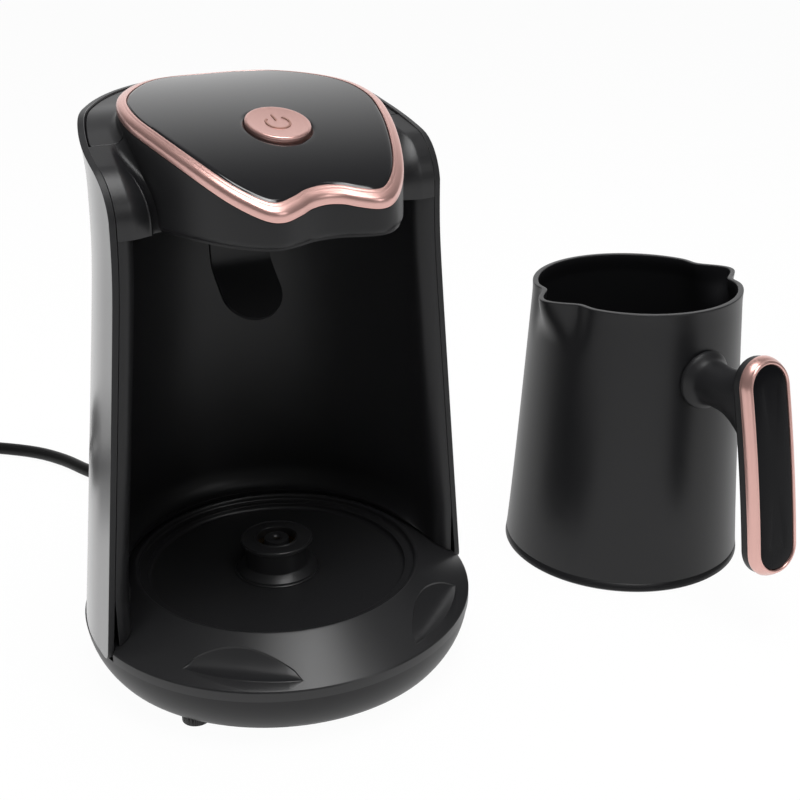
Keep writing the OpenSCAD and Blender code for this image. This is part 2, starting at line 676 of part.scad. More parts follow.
module head_housing() {
    color(satin) difference() {
        union() {
            difference() {
                intersection() { head_prism(tub_out); dome(ring_h + 0.2); }
                head_prism(tub_out - wall, head_z + wall);
            }
            // flange over the cavity's top edge
            translate([0, 0, head_z]) linear_extrude(flange_t) difference() {
                intersection() {
                    polygon(shell_row(head_z + flange_t, shell_t + 1.1));
                    translate([-100, face_y + wall + 0.4]) square([200, 200]);
                }
                polygon(outline(tub_out - 1));
            }
            intersection() {
                board_posts() cylinder(r = 2.6, h = 26 - 0.05, $fn = 32);
                translate([-60, -60, head_z + wall / 2]) cube([120, 120, 40]);
            }
        }
        board_posts() cylinder(r = 1.3, h = 27, $fn = 24);
        for (p = head_bosses) translate([p[0], p[1], head_z - 1]) {
            cylinder(r = screw_r - 0.1, h = flange_t + 2, $fn = 24);
            cylinder(r = 2.7, h = 2.2, $fn = 32);
        }
        translate([loom_x, loom_y(head_z), head_z - 1]) cylinder(r = loom_d, h = 10);
        translate([loom_x, 62, head_z + 10]) rotate([90, 0, 0]) cylinder(r = loom_d, h = 16);
    }
}

module head_screws() {
    color(steel) for (p = head_bosses) translate([p[0], p[1], head_z + 1.1]) screw(screw_r - 0.3, 11, 2.4, 1);
}

module trim_ring() {
    color(rose) {
        intersection() { head_band(ring_w + ring_gap, ring_gap); dome_band(0, ring_h); }
        // ledge under the panel's edge
        intersection() { head_band(2, -1.6); dome_band(panel_t + 0.4, ring_h); }
    }
}

module top_panel() {
    color(black) difference() {
        intersection() { head_prism(0); dome(0); }
        dome(panel_t);
        on_button_axis(20) cylinder(r = button_r + button_gap, h = 40);
    }
}

module power_button() {
    color(rose) on_button_axis() {
        translate([0, 0, -cap_depth]) cylinder(r = button_r, h = cap_depth + button_proud - button_edge);
        translate([0, 0, button_proud - button_edge])
            cylinder(r1 = button_r, r2 = button_r - button_edge, h = button_edge);
        translate([0, 0, -flange_depth]) cylinder(r = button_r + 1.3, h = flange_depth - cap_depth);
        translate([0, 0, -stem_depth]) cylinder(r = 2.2, h = stem_depth - cap_depth);
    }
}

module switch_plunger() {
    color([0.85, 0.85, 0.82]) on_button_axis(plunger_depth)
        cylinder(r = 1.7, h = plunger_depth - stem_depth, $fn = 32);
}

module switch_body() {
    color(satin) on_button_axis(board_depth) difference() {
        translate([-3, -3, 0]) cube([6, 6, 3.4]);
        translate([0, 0, switch_floor]) cylinder(r = 1.85, h = 5, $fn = 32);
    }
}

module control_board() {
    color(board_green) on_button_axis(board_depth + board_t) difference() {
        translate([-board_size[0] / 2, -board_size[1] / 2, 0]) cube([board_size[0], board_size[1], board_t]);
        for (x = [-1, 1], y = [-1, 1]) translate([x * board_post[0], y * board_post[1], -1])
            cylinder(r = 1.4, h = 4, $fn = 24);
    }
}

module buzzer() {
    color(black) on_button_axis(board_depth) translate([12, 0, 0]) tube(4.6, 1, 5);
}

module board_screws() {
    color(steel) for (x = [-1, 1], y = [-1, 1]) on_button_axis(board_depth)
        translate([x * board_post[0], y * board_post[1], 0]) rotate([180, 0, 0]) screw(1.2, 7, 2.2, 1.3);
}

// Side view of the bent sheet, t thick in front of its line
function sheet_band(line, t) = concat(line, reversed([for (i = [0 : len(line) - 1])
    let (d = line[min(i + 1, len(line) - 1)] - line[max(i - 1, 0)], u = d / norm(d))
        line[i] + t * [-u[1], u[0]]]));

module sensor_hood() {
    bottom = hood_line[3][1];
    color(black) {
        intersection() {
            along_x(2 * hood_w) polygon(sheet_band(hood_line, hood_t));
            along_y(40, 60) union() {
                translate([0, bottom + hood_w * 0.7]) oval_end(hood_w);
                translate([-hood_w, bottom + hood_w * 0.7]) square([2 * hood_w, head_z - bottom]);
            }
        }
        translate([-hood_w, 23.3 + hood_t - eps, head_z - 2.4]) cube([2 * hood_w, 6, 2.4 - 0.05]);
    }
}
// Round end of the hood as seen from the front, where its slope shortens it
module oval_end(r) {
    polygon([for (k = [0 : 47]) [r * cos(360 * k / 48), 0.7 * r * sin(360 * k / 48)]]);
}

module sensor_probe() {
    d = hood_line[3] - hood_line[2];
    lean = atan2(-d[1], -d[0]);
    p = mix(hood_line[2], hood_line[3], 0.4);
    color(steel) translate([0, p[0], p[1]]) rotate([lean, 0, 0]) translate([0, 0, -hood_t - 5])
        cylinder(r = 3, h = 4.95);
}

// ================================================================ Pot

module pot_body() {
    heights = [skirt_z + 0.1, 17, 34, 52, 70, 88, pot_h - 20, pot_h - 14, pot_h - 9, pot_h - 5,
               pot_h - 2, pot_h - 0.5];
    lip = [pot_ring(pot_h, 0.5), pot_ring(pot_h, pot_wall - 0.5)];
    floor_under = pot_floor_z - pot_bottom_t;
    inner = [pot_h - 0.5, pot_h - 2, pot_h - 5, pot_h - 9, pot_h - 14, pot_h - 20, 88, 70, 52, pot_floor_z + 5];
    color(satin) at_pot() difference() {
        loft(concat([for (z = heights) pot_ring(z, 0)], lip, [for (z = inner) pot_ring(z, pot_wall)],
            [pot_ring(pot_floor_z + 1.3, pot_wall + 1.2), pot_ring(pot_floor_z, pot_wall + 4)]));
        translate([0, 0, -1]) linear_extrude(floor_under + 1)
            polygon([for (p = pot_ring(floor_under, pot_wall)) [p[0], p[1]]]);
    }
}

module pot_skirt_ring() {
    color(satin) at_pot() rotate_extrude($fn = 96) polygon([
        [skirt_in, 0], [pot_foot_r - 0.8, 0], [pot_foot_r, 0.8], [pot_r(skirt_z), skirt_z],
        [body_in, skirt_z], [body_in, skirt_z + 3], [skirt_in, skirt_z + 3]]);
}

module heater_plate() {
    color([0.8, 0.8, 0.8]) at_pot() translate([0, 0, plate_z - 0.05]) difference() {
        cylinder(r = element_ring_r + 9, h = plate_t);
        for (a = [45 : 90 : 315]) rotate([0, 0, a]) translate([pot_boss_r, 0, -1])
            cylinder(r = 1, h = 4, $fn = 24);
    }
}

module heating_element() {
    color(steel) at_pot() translate([0, 0, plate_z - element_r - 0.15]) rotate([0, 0, 110])
        rotate_extrude(angle = 320) translate([element_ring_r, 0]) circle(r = element_r, $fn = 32);
}

module thermal_cutout() {
    color([0.9, 0.88, 0.8]) at_pot() translate([0, 24.5, plate_z - 5.1]) cylinder(r = 4, h = 5);
}

module pot_connector() {
    color(black) at_pot() difference() {
        union() {
            translate([0, 0, 0.6]) cylinder(r = socket_r + 2, h = socket_h + 1.5 - 0.6);
            translate([0, 0, 3.2]) cylinder(r = socket_r + 6, h = 1.8);
        }
        translate([0, 0, -1]) cylinder(r = socket_r, h = socket_step + 1);
        translate([0, 0, -1]) cylinder(r = socket_r - 0.2, h = socket_h + 1);
    }
}

module pot_contacts() {
    color(brass) at_pot() translate([0, 0, socket_h - contact_depth]) {
        cylinder(r = 0.9, h = contact_depth - 0.05);
        tube(contact_in + 1.45, contact_in + 0.95, contact_depth - 0.05);
    }
}

module pot_base_cover() {
    color(black) at_pot() difference() {
        union() {
            translate([0, 0, 1.2]) cylinder(r = skirt_in - 0.1, h = 1.8, $fn = 96);
            for (a = [45 : 90 : 315]) rotate([0, 0, a]) translate([pot_boss_r, 0, 1.3])
                cylinder(r = 3, h = plate_z - 1.5);
        }
        translate([0, 0, -1]) cylinder(r = socket_r + 2.2, h = 10);
        for (a = [45 : 90 : 315]) rotate([0, 0, a]) translate([pot_boss_r, 0, 0])
            cylinder(r = 1.25, h = 20, $fn = 24);
    }
}

module pot_base_screws() {
    color(steel) at_pot() for (a = [45 : 90 : 315]) rotate([0, 0, a]) translate([pot_boss_r, 0, 1.15])
        screw(1.2, plate_z - 3, 2.3, 0.9);
}

// ================================================================ Handle

// The grip's own frame: x across, y along the grip, z out of its front face
module on_grip() {
    at_pot() translate(grip_mid) rotate([90 - grip_lean, 0, 0]) children();
}
module stadium(half_w, half_l) {
    translate([-half_w, -(half_l - half_w)]) square([2 * half_w, 2 * (half_l - half_w)]);
    for (s = [-1, 1]) translate([0, s * (half_l - half_w)]) circle(r = half_w, $fn = 64);
}
module grip_bow(depth) {
    translate([0, 0, -grip_bow_r]) rotate([0, 90, 0])
        cylinder(r = grip_bow_r - depth, h = 60, center = true, $fn = 360);
}

module handle() {
    color(black) difference() {
        union() {
            on_grip() difference() {
                intersection() {
                    translate([0, 0, -grip_t - 2]) linear_extrude(grip_t + 2)
                        stadium(grip_half_w - 0.4, grip_half_l - 0.4);
                    grip_bow(frame_t + 0.1);
                }
                translate([0, 0, -grip_t - 60]) cube([60, 160, 120], center = true);
            }
            difference() {
                along_neck(wall_y - 2) {
                    cylinder(r = neck_r, h = neck_end - wall_y + 4);
                    cylinder(r = collar_r, h = 4.2);
                    translate([0, 0, 4.2]) cylinder(r1 = collar_r, r2 = neck_r, h = 5);
                }
                on_grip() translate([-50, -100, -frame_t - 1.2]) cube([100, 200, 60]);
            }
        }
        // it lies against the pot's wall, around the boss, and the bolt runs through it
        wall_cone(0.15);
        along_neck(wall_y - 3) cylinder(r = stud_r + 0.2, h = stud_l + 3.2);
        along_neck(wall_y) cylinder(r = bolt_r + 0.2, h = 60);
        along_neck(neck_end - 8) cylinder(r = 4, h = 20);
    }
}
module wall_cone(clear) {
    at_pot() translate([0, 0, neck_z - 25]) cylinder(
        r1 = pot_r(neck_z - 25) + clear, r2 = pot_r(neck_z + 25) + clear, h = 50, $fn = 180);
}
module along_neck(from) {
    at_pot() translate([0, -from, neck_z]) rotate([90, 0, 0]) children();
}

module grip_frame() {
    color(rose) on_grip() intersection() {
        translate([0, 0, -frame_t - 2]) linear_extrude(frame_t + 3) difference() {
            stadium(grip_half_w, grip_half_l);
            stadium(grip_half_w - frame_w, grip_half_l - frame_w);
        }
        difference() { grip_bow(0); grip_bow(frame_t); }
    }
}

module grip_inlay() {
    color(black) on_grip() intersection() {
        translate([0, 0, -frame_t - 2]) linear_extrude(frame_t + 3)
            stadium(grip_half_w - frame_w - 0.15, grip_half_l - frame_w - 0.15);
        difference() { grip_bow(0.4); grip_bow(frame_t); }
    }
}

module handle_boss() {
    color(steel) difference() {
        along_neck(wall_y - 2) cylinder(r = stud_r, h = stud_l + 2);
        wall_cone(0.1);
        along_neck(wall_y - 2) cylinder(r = bolt_r + 0.05, h = stud_l + 10);
    }
}

module handle_bolt() {
    color(steel) {
        along_neck(wall_y + 0.6) cylinder(r = bolt_r, h = neck_end - 8 - wall_y);
        along_neck(neck_end - 8 + 0.05) difference() {
            cylinder(r = 3.6, h = 3.2);
            translate([0, 0, 1.4]) cylinder(r = 1.7, h = 3, $fn = 6);
        }
    }
}

// ================================================================ Cord

module strain_relief() {
    color(black) turned_along_y(0, cord_z) polygon([
        [0, cord_boss_in - 2], [cord_boss_r - 0.2, cord_boss_in - 2], [cord_boss_r - 0.2, cord_boss_in - 0.05],
        [relief_neck_r, cord_boss_in - 0.05], [relief_neck_r, base_r + 0.05], [cord_boss_r - 0.4, base_r + 0.05],
        [cord_boss_r - 0.4, base_r + 2], [relief_neck_r + 0.2, base_r + 2.4], [cord_d / 2 + 1, relief_end - 1],
        [cord_d / 2 + 0.4, relief_end], [0, relief_end]]);
}

module cord() { color([0.06, 0.06, 0.06]) loft(sweep_rings(smooth_line(cord_route, 3), cord_d, 10)); }
module cord_tail() { color([0.06, 0.06, 0.06]) loft(sweep_rings(smooth_line(cord_tail_route, 3), cord_d, 10)); }

module cord_coil() {
    color([0.06, 0.06, 0.06]) translate([coil_mid[0], coil_mid[1], coil_z]) rotate_extrude(convexity = 4)
        translate([coil_r - cord_d / 2, 0]) square([cord_d, coil_h]);
}

module cord_tie() {
    color([0.12, 0.12, 0.12]) translate([coil_mid[0] + coil_r, coil_mid[1], 0]) difference() {
        translate([-cord_d / 2 - 1.2, -4, 0.1]) cube([cord_d + 2.4, 8, coil_h + 2]);
        translate([-cord_d / 2 - 0.45, -5, 0.9]) cube([cord_d + 0.9, 10, coil_h + 0.3]);
    }
}

module plug_body() {
    back = plug_back_y - 0.4;
    color(black) turned_along_y(coil_mid[0] - coil_r, plug_axis_z) polygon([
        [0, back], [cord_d / 2 + 1.2, back], [6.5, back - 14], [12, back - 20], [13, back - 34], [18.3, back - 38],
        [18.3, back - 52], [0, back - 52]]);
}

module plug_pins() {
    color(steel) for (s = [-1, 1]) translate([coil_mid[0] - coil_r + s * 9.5, plug_back_y - 52.45, plug_axis_z])
        rotate([90, 0, 0]) {
            cylinder(r = 2.4, h = 17.5, $fn = 32);
            translate([0, 0, 17.5]) cylinder(r1 = 2.4, r2 = 1.4, h = 1.5, $fn = 32);
        }
}

placed() base_tub();
placed() base_cover();
placed() feet();
placed() base_screws();
placed() connector_tower();
placed() tower_nut();
placed() contact_rings();
placed() centre_pin();
placed() power_board();
placed() relay();
placed() terminal_block();
placed() mains_leads();
placed() outer_shell();
placed() cavity_liner();
placed() shoulder_covers();
placed() top_cover();
placed() wiring_loom();
placed() head_housing();
placed() head_screws();
placed() trim_ring();
placed() top_panel();
placed() power_button();
placed() switch_plunger();
placed() switch_body();
placed() control_board();
placed() buzzer();
placed() board_screws();
placed() sensor_hood();
placed() sensor_probe();
placed() pot_body();
placed() pot_skirt_ring();
placed() heater_plate();
placed() heating_element();
placed() thermal_cutout();
placed() pot_connector();
placed() pot_contacts();
placed() pot_base_cover();
placed() pot_base_screws();
placed() handle();
placed() handle_boss();
placed() handle_bolt();
placed() grip_frame();
placed() grip_inlay();
placed() strain_relief();
placed() cord();
placed() cord_coil();
placed() cord_tail();
placed() cord_tie();
placed() plug_body();
placed() plug_pins();
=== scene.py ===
"""Looks of the electric turkish coffee maker: machine, pot and cord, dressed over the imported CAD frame.

Sizes are in millimetres about the machine's own axis, with the machine facing -Y. Each piece is moved
into the row frame, in metres, when its mesh is made.
"""
import logging
import math
from dataclasses import dataclass
from enum import Enum

import bmesh
import bpy
import numpy as np
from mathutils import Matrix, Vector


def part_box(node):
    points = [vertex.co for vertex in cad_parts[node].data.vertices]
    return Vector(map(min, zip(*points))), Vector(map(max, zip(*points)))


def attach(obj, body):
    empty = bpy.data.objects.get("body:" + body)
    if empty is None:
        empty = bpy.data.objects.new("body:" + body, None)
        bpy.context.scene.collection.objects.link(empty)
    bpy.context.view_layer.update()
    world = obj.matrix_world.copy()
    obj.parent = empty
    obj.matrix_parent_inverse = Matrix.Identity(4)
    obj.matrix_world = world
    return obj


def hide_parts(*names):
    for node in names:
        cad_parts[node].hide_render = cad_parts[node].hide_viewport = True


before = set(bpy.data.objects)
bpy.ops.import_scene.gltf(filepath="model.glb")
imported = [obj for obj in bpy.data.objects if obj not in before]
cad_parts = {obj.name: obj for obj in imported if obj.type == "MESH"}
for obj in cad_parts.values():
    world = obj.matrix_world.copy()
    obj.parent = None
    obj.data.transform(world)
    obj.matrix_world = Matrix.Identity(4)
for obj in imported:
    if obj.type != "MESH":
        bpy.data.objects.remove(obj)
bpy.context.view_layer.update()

LOG = logging.getLogger("coffee_maker")
Array = np.ndarray
Number = float | Array
Piece = bpy.types.Object
Colour = tuple[float, float, float]
Point = tuple[float, float, float]

MM = 0.001
MERGE_WITHIN = 1e-6


def middle_of(node: str) -> Array:
    """Middle of a CAD node's box, in millimetres of the row frame.

    Args:
        node: name of the CAD node.

    Returns:
        The x and y of its middle, with z = 0.
    """
    low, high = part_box(node)
    return np.array([(low[0] + high[0]) / 2 / MM, (low[1] + high[1]) / 2 / MM, 0.0])


MACHINE = middle_of("connector_tower")
POT = middle_of("pot_connector") - MACHINE


# ---------------------------------------------------------------- numbers and curves


def mix(a: Number, b: Number, t: Number) -> Number:
    """Value between a and b at the share t."""
    return a + (b - a) * t


def ease(a: float, b: float, x: Number) -> Number:
    """Smooth step from 0 at a to 1 at b."""
    t = np.clip((x - a) / (b - a), 0.0, 1.0)
    return t * t * (3 - 2 * t)


def arc(cx: float, cy: float, r: float, start: float, end: float, steps: int) -> Array:
    """Points of a circular arc.

    Args:
        cx, cy: centre.
        r: radius.
        start, end: first and last angle in degrees.
        steps: number of steps between them.

    Returns:
        An array of steps + 1 points.
    """
    a = np.radians(np.linspace(start, end, steps + 1))
    return np.stack([cx + r * np.cos(a), cy + r * np.sin(a)], -1)


def catmull_rom(points: Array, steps: int, closed: bool) -> Array:
    """Smooth line through points: on each stretch the Catmull-Rom cubic of its four neighbours.

    Args:
        points: array of k points in any number of dimensions.
        steps: number of steps to a stretch.
        closed: whether the line runs back to its start.

    Returns:
        The points of the smooth line.
    """
    k = len(points)
    stretches = np.arange(k if closed else k - 1)
    pick = (lambda i: points[i % k]) if closed else (lambda i: points[np.clip(i, 0, k - 1)])
    a, b, c, d = (pick(stretches + o)[:, None] for o in (-1, 0, 1, 2))
    t = (np.arange(steps) / steps)[None, :, None]
    line = 0.5 * (2 * b + (c - a) * t + (2 * a - 5 * b + 4 * c - d) * t**2 + (3 * b - a - 3 * c + d) * t**3)
    line = line.reshape(-1, points.shape[1])
    return line if closed else np.vstack([line, points[-1:]])


def rounded(line: Array, rounds: int) -> Array:
    """Cuts the corners of lines, a quarter off each side at a time, and keeps their ends.

    Args:
        line: array (..., k, dimensions) of open lines.
        rounds: how often the corners are cut.

    Returns:
        The same lines with more points and soft corners.
    """
    for _ in range(rounds):
        near = mix(line[..., :-1, :], line[..., 1:, :], 0.25)
        far = mix(line[..., :-1, :], line[..., 1:, :], 0.75)
        cut = np.stack([near, far], -2)
        cut = cut.reshape(line.shape[:-2] + (-1, line.shape[-1]))
        line = np.concatenate([line[..., :1, :], cut[..., 1:-1, :], line[..., -1:, :]], -2)
    return line


def reach_of(outline: Array, angle: Array, period: float | None = 2 * np.pi) -> Array:
    """Distance from the origin to an outline in each direction, in a straight line between its points.

    Args:
        outline: array (places, 2).
        angle: directions in radians.
        period: a full turn, or None where the outline is open.

    Returns:
        The distances, in the shape of angle.
    """
    direction = np.arctan2(outline[:, 1], outline[:, 0])
    order = np.argsort(direction)
    return np.interp(angle, direction[order], np.linalg.norm(outline, axis=1)[order], period=period)


# ---------------------------------------------------------------- meshes


def stand(name: str, data: bpy.types.ID) -> Piece:
    """Stands an object that holds the data in the scene.

    Args:
        name: its name.
        data: its mesh, curve, camera or light.

    Returns:
        The object.
    """
    made = bpy.data.objects.new(name, data)
    bpy.context.scene.collection.objects.link(made)
    return made


def soften(piece: Piece, edge: float, angle: float = 50.0) -> None:
    """Rounds a piece's sharp edges by a bevel.

    Args:
        piece: the piece.
        edge: width of the rounding in millimetres.
        angle: angle in degrees from which an edge is rounded.
    """
    bevel = piece.modifiers.new("edges", "BEVEL")
    bevel.width = edge * MM
    bevel.segments = 3
    bevel.limit_method = "ANGLE"
    bevel.angle_limit = math.radians(angle)
    bevel.harden_normals = True


class Skin:
    """Vertices and faces of one piece, gathered grid by grid, in millimetres about the machine's axis."""

    def __init__(self) -> None:
        """Starts with no points and no faces."""
        self.points: list[Array] = []
        self.faces: list[list[int]] = []
        self.count = 0

    def grid(self, points: Array, wrap_rows: bool = False, wrap_cols: bool = False) -> int:
        """Adds a grid of points with a quad in each cell.

        Args:
            points: array (rows, cols, 3).
            wrap_rows: whether the last row joins the first.
            wrap_cols: whether the last column joins the first.

        Returns:
            Index of the grid's first point.
        """
        rows, cols = points.shape[:2]
        i = np.arange(rows if wrap_rows else rows - 1)[:, None]
        j = np.arange(cols if wrap_cols else cols - 1)[None, :]
        ni, nj = (i + 1) % rows, (j + 1) % cols
        quads = np.stack([i * cols + j, i * cols + nj, ni * cols + nj, ni * cols + j], -1).reshape(-1, 4)
        start = self.count
        self.faces += (quads + start).tolist()
        self.points.append(points.reshape(-1, 3))
        self.count += rows * cols
        return start

    def lid(self, first: int, count: int, centre: Array) -> None:
        """Closes a ring of points with a fan to a centre point.

        Args:
            first: index of the ring's first point.
            count: number of its points.
            centre: the centre point.
        """
        ring = first + np.arange(count)
        middle = np.full(count, self.count)
        self.faces += np.stack([ring, np.roll(ring, -1), middle], -1).tolist()
        self.points.append(np.asarray(centre, float).reshape(1, 3))
        self.count += 1

    def tube(self, rows: Array, start: Array, end: Array) -> None:
        """Adds rings of points, each joined around, and closes the first and the last one with a fan.

        Args:
            rows: array (rings, places, 3).
            start: centre point of the first ring.
            end: centre point of the last ring.
        """
        count = rows.shape[1]
        first = self.grid(rows, wrap_cols=True)
        self.lid(first, count, start)
        self.lid(first + (len(rows) - 1) * count, count, end)

    def turn_faces(self, core: Array, outwards: bool) -> None:
        """Turns an open sheet of quads, so that its normals sum up away from a core point or towards it.

        Args:
            core: the point, in millimetres.
            outwards: whether the faces look away from it.
        """
        points, quads = np.vstack(self.points), np.array(self.faces)
        corners = points[quads]
        normal = np.cross(corners[:, 2] - corners[:, 0], corners[:, 3] - corners[:, 1])
        away = float(((corners.mean(1) - core) * normal).sum())
        if (away > 0) != outwards:
            self.faces = quads[:, ::-1].tolist()

    def make(self, name: str, closed: bool = True, sharp: float = 38.0) -> Piece:
        """Makes the object in the row frame.

        Args:
            name: name of the piece.
            closed: whether the skin is closed, so that its faces are turned outwards.
            sharp: angle in degrees from which an edge stays sharp.

        Returns:
            The new object, linked to the scene.
        """
        mesh = bpy.data.meshes.new(name)
        mesh.from_pydata(((np.vstack(self.points) + MACHINE) * MM).tolist(), [], self.faces)
        work = bmesh.new()
        work.from_mesh(mesh)
        bmesh.ops.remove_doubles(work, verts=work.verts, dist=MERGE_WITHIN)
        if closed:
            bmesh.ops.recalc_face_normals(work, faces=work.faces)
        work.to_mesh(mesh)
        work.free()
        mesh.shade_smooth()
        mesh.set_sharp_from_angle(angle=math.radians(sharp))
        return stand(name, mesh)

    def sheet(self, name: str, thickness: float, edge: float, sharp: float = 60.0) -> Piece:
        """Makes an open skin into a piece, with its wall behind the seen face.

        Args:
            name: name of the piece.
            thickness: the wall in millimetres.
            edge: width of its edges' rounding in millimetres.
            sharp: angle in degrees from which an edge stays sharp.

        Returns:
            The piece.
        """
        piece = self.make(name, closed=False, sharp=sharp)
        wall = piece.modifiers.new("wall", "SOLIDIFY")
        wall.thickness = thickness * MM
        wall.offset = -1.0
        soften(piece, edge)
        return piece


def closed_piece(name: str, points: Array, sharp: float = 38.0) -> Piece:
    """Makes a piece of one grid of points that closes both ways.

    Args:
        name: name of the piece.
        points: array (rows, cols, 3).
        sharp: angle in degrees from which an edge stays sharp.

    Returns:
        The piece.
    """
    skin = Skin()
    skin.grid(points, wrap_rows=True, wrap_cols=True)
    return skin.make(name, sharp=sharp)


def lathe(profile: Array, centre: Array, axis: Array, sides: int) -> Array:
    """Turns a profile about an axis: point = centre + radius x (cos a, sin a) across + height x axis.

    Args:
        profile: array (k, 2) of radius and height.
        centre: point on the axis at height 0.
        axis: unit vector of the axis, away from X.
        sides: steps around the axis.

    Returns:
        Array (k, sides, 3).
    """
    side = np.cross(axis, [1.0, 0.0, 0.0])
    side = side / np.linalg.norm(side)
    other = np.cross(axis, side)
    a = 2 * np.pi * np.arange(sides) / sides
    ring = np.cos(a)[:, None] * side + np.sin(a)[:, None] * other
    return centre + profile[:, None, :1] * ring[None] + profile[:, None, 1:] * axis


# ---------------------------------------------------------------- finishes


def fill(tree: bpy.types.NodeTree, node: bpy.types.Node, inputs: dict) -> None:
    """Fills the inputs of a node.

    Args:
        tree: the tree that the node is in.
        node: the node.
        inputs: by name or number of an input, the value it holds or the socket it is linked from.
    """
    for key, value in inputs.items():
        if isinstance(value, bpy.types.NodeSocket):
            tree.links.new(value, node.inputs[key])
        else:
            node.inputs[key].default_value = value


def add_node(tree: bpy.types.NodeTree, kind: str, inputs: dict, **settings: str) -> bpy.types.Node:
    """Adds a shader node and fills its inputs.

    Args:
        tree: the tree that it joins.
        kind: its type, without the leading ShaderNode.
        inputs: as in fill.
        settings: its own settings, such as its operation.

    Returns:
        The node.
    """
    node = tree.nodes.new("ShaderNode" + kind)
    for setting, value in settings.items():
        setattr(node, setting, value)
    fill(tree, node, inputs)
    return node


def worked_out(tree: bpy.types.NodeTree, operation: str, *inputs: object) -> bpy.types.NodeSocket:
    """Result of a Math node on values or sockets."""
    return add_node(tree, "Math", dict(enumerate(inputs)), operation=operation).outputs[0]


class Grain(Enum):
    """Fine relief of a surface."""

    MOULDED = "moulded grain"
    BRUSHED = "brushed lines"
    POLISHED = "polished"
    BOARD = "board with tracks"


BRUSH_STRETCH = (0.06, 0.06, 1.0)
BROAD_SCALE = 0.035
FINE_SHARE = 0.35
GLOSS_SPREAD = 0.12


def grain_group(kind: Grain) -> bpy.types.NodeTree:
    """Shader group that turns a position into a relief height and a tone, both from 0 to 1.

    Args:
        kind: which relief the group makes.

    Returns:
        The group, made once and used by every material of that relief.
    """
    found = bpy.data.node_groups.get(kind.value)
    if found:
        return found
    group = bpy.data.node_groups.new(kind.value, "ShaderNodeTree")
    face = group.interface
    face.new_socket("Position", in_out="INPUT", socket_type="NodeSocketVector")
    face.new_socket("Scale", in_out="INPUT", socket_type="NodeSocketFloat")
    face.new_socket("Height", in_out="OUTPUT", socket_type="NodeSocketFloat")
    face.new_socket("Tone", in_out="OUTPUT", socket_type="NodeSocketFloat")
    given, result = group.nodes.new("NodeGroupInput"), group.nodes.new("NodeGroupOutput")
    place, scale = given.outputs["Position"], given.outputs["Scale"]
    stretched = place
    if kind is Grain.BRUSHED:
        stretch = add_node(group, "VectorMath", {0: place, 1: BRUSH_STRETCH}, operation="MULTIPLY")
        stretched = stretch.outputs[0]
    pattern = "TexVoronoi" if kind is Grain.BOARD else "TexNoise"
    fine = add_node(group, pattern, {"Vector": stretched, "Scale": scale}).outputs[0]
    coarser = worked_out(group, "MULTIPLY", scale, BROAD_SCALE)
    broad = add_node(group, "TexNoise", {"Vector": place, "Scale": coarser, "Detail": 2.0}).outputs[0]
    rest = worked_out(group, "MULTIPLY", broad, 1 - FINE_SHARE)
    fill(group, result, {"Height": fine, "Tone": worked_out(group, "MULTIPLY_ADD", fine, FINE_SHARE, rest)})
    return group


@dataclass(frozen=True)
class Finish:
    """A material: colour, gloss and fine relief."""

    name: str
    slot: str
    colour: Colour
    roughness: float
    grain: Grain = Grain.MOULDED
    scale: float = 1500.0
    relief: float = 0.02
    tone: float = 0.08
    metallic: float = 0.0
    coat: float = 0.0
    coat_roughness: float = 0.05
    ior: float = 1.5
    specular: float = 0.5

    def material(self) -> bpy.types.Material:
        """The material, built on first use.

        Returns:
            A node material whose colour and roughness follow the grain's tone.
        """
        found = bpy.data.materials.get(self.name)
        if found:
            return found
        made = bpy.data.materials.new(self.name)
        made.use_nodes = True
        tree = made.node_tree
        grain = tree.nodes.new("ShaderNodeGroup")
        grain.node_tree = grain_group(self.grain)
        place = tree.nodes.new("ShaderNodeTexCoord").outputs["Object"]
        fill(tree, grain, {"Position": place, "Scale": self.scale})
        tone = grain.outputs["Tone"]
        shares = (1 - self.tone, 1 + self.tone)
        dark, light = ((*(min(1.0, c * share) for c in self.colour), 1) for share in shares)
        tint = add_node(tree, "Mix", {"Factor": tone, "A": dark, "B": light}, data_type="RGBA")
        gloss = add_node(tree, "MapRange", {"Value": tone, "To Min": self.roughness * (1 - GLOSS_SPREAD),
                                            "To Max": min(1.0, self.roughness * (1 + GLOSS_SPREAD))})
        bump = add_node(tree, "Bump", {"Height": grain.outputs["Height"], "Distance": self.relief * MM,
                                       "Strength": min(1.0, self.relief * 10)})
        fill(tree, tree.nodes["Principled BSDF"], {
            "Metallic": self.metallic, "IOR": self.ior, "Specular IOR Level": self.specular,
            "Coat Weight": self.coat, "Coat Roughness": self.coat_roughness,
            "Base Color": tint.outputs["Result"], "Roughness": gloss.outputs["Result"],
            "Normal": bump.outputs["Normal"]})
        return made


SHELL = Finish("polished shell plastic", "shell_plastic", (0.03, 0.03, 0.032), 0.34, Grain.POLISHED, 90, 0.0,
               coat=1.0, coat_roughness=0.22, ior=1.6)
GREY = Finish("satin grey plastic", "grey_plastic", (0.009, 0.009, 0.01), 0.34, scale=1800, relief=0.012)
SATIN = Finish("satin cover plastic", "grey_plastic", (0.016, 0.016, 0.017), 0.33, scale=1800, relief=0.01)
BLACK = Finish("satin black plastic", "black_plastic", (0.014, 0.014, 0.015), 0.4, scale=1800, relief=0.012,
               specular=0.3)
PANEL = Finish("glossy panel", "panel_gloss", (0.006, 0.006, 0.007), 0.1, Grain.POLISHED, 60, 0.0, ior=1.75)
INLAY = Finish("glossy inlay", "panel_gloss", (0.005, 0.005, 0.006), 0.2, Grain.POLISHED, 60, 0.0, ior=1.45,
               specular=0.12)
ROSE = Finish("rose metallic paint", "rose_metal", (0.76, 0.455, 0.41), 0.3, scale=2600, relief=0.008,
              tone=0.05, metallic=0.85, coat=0.3, coat_roughness=0.12)
# The sign's rose is a darker copy of the button's rose metal: painted shade, standing in for the shade of an
# engraved sign.
ROSE_SYMBOL_PAINTED_SHADE = Finish("rose symbol in painted shade", "rose_metal", (0.50, 0.27, 0.22), 0.35, scale=2600, relief=0.008,
                     tone=0.05, metallic=0.85)
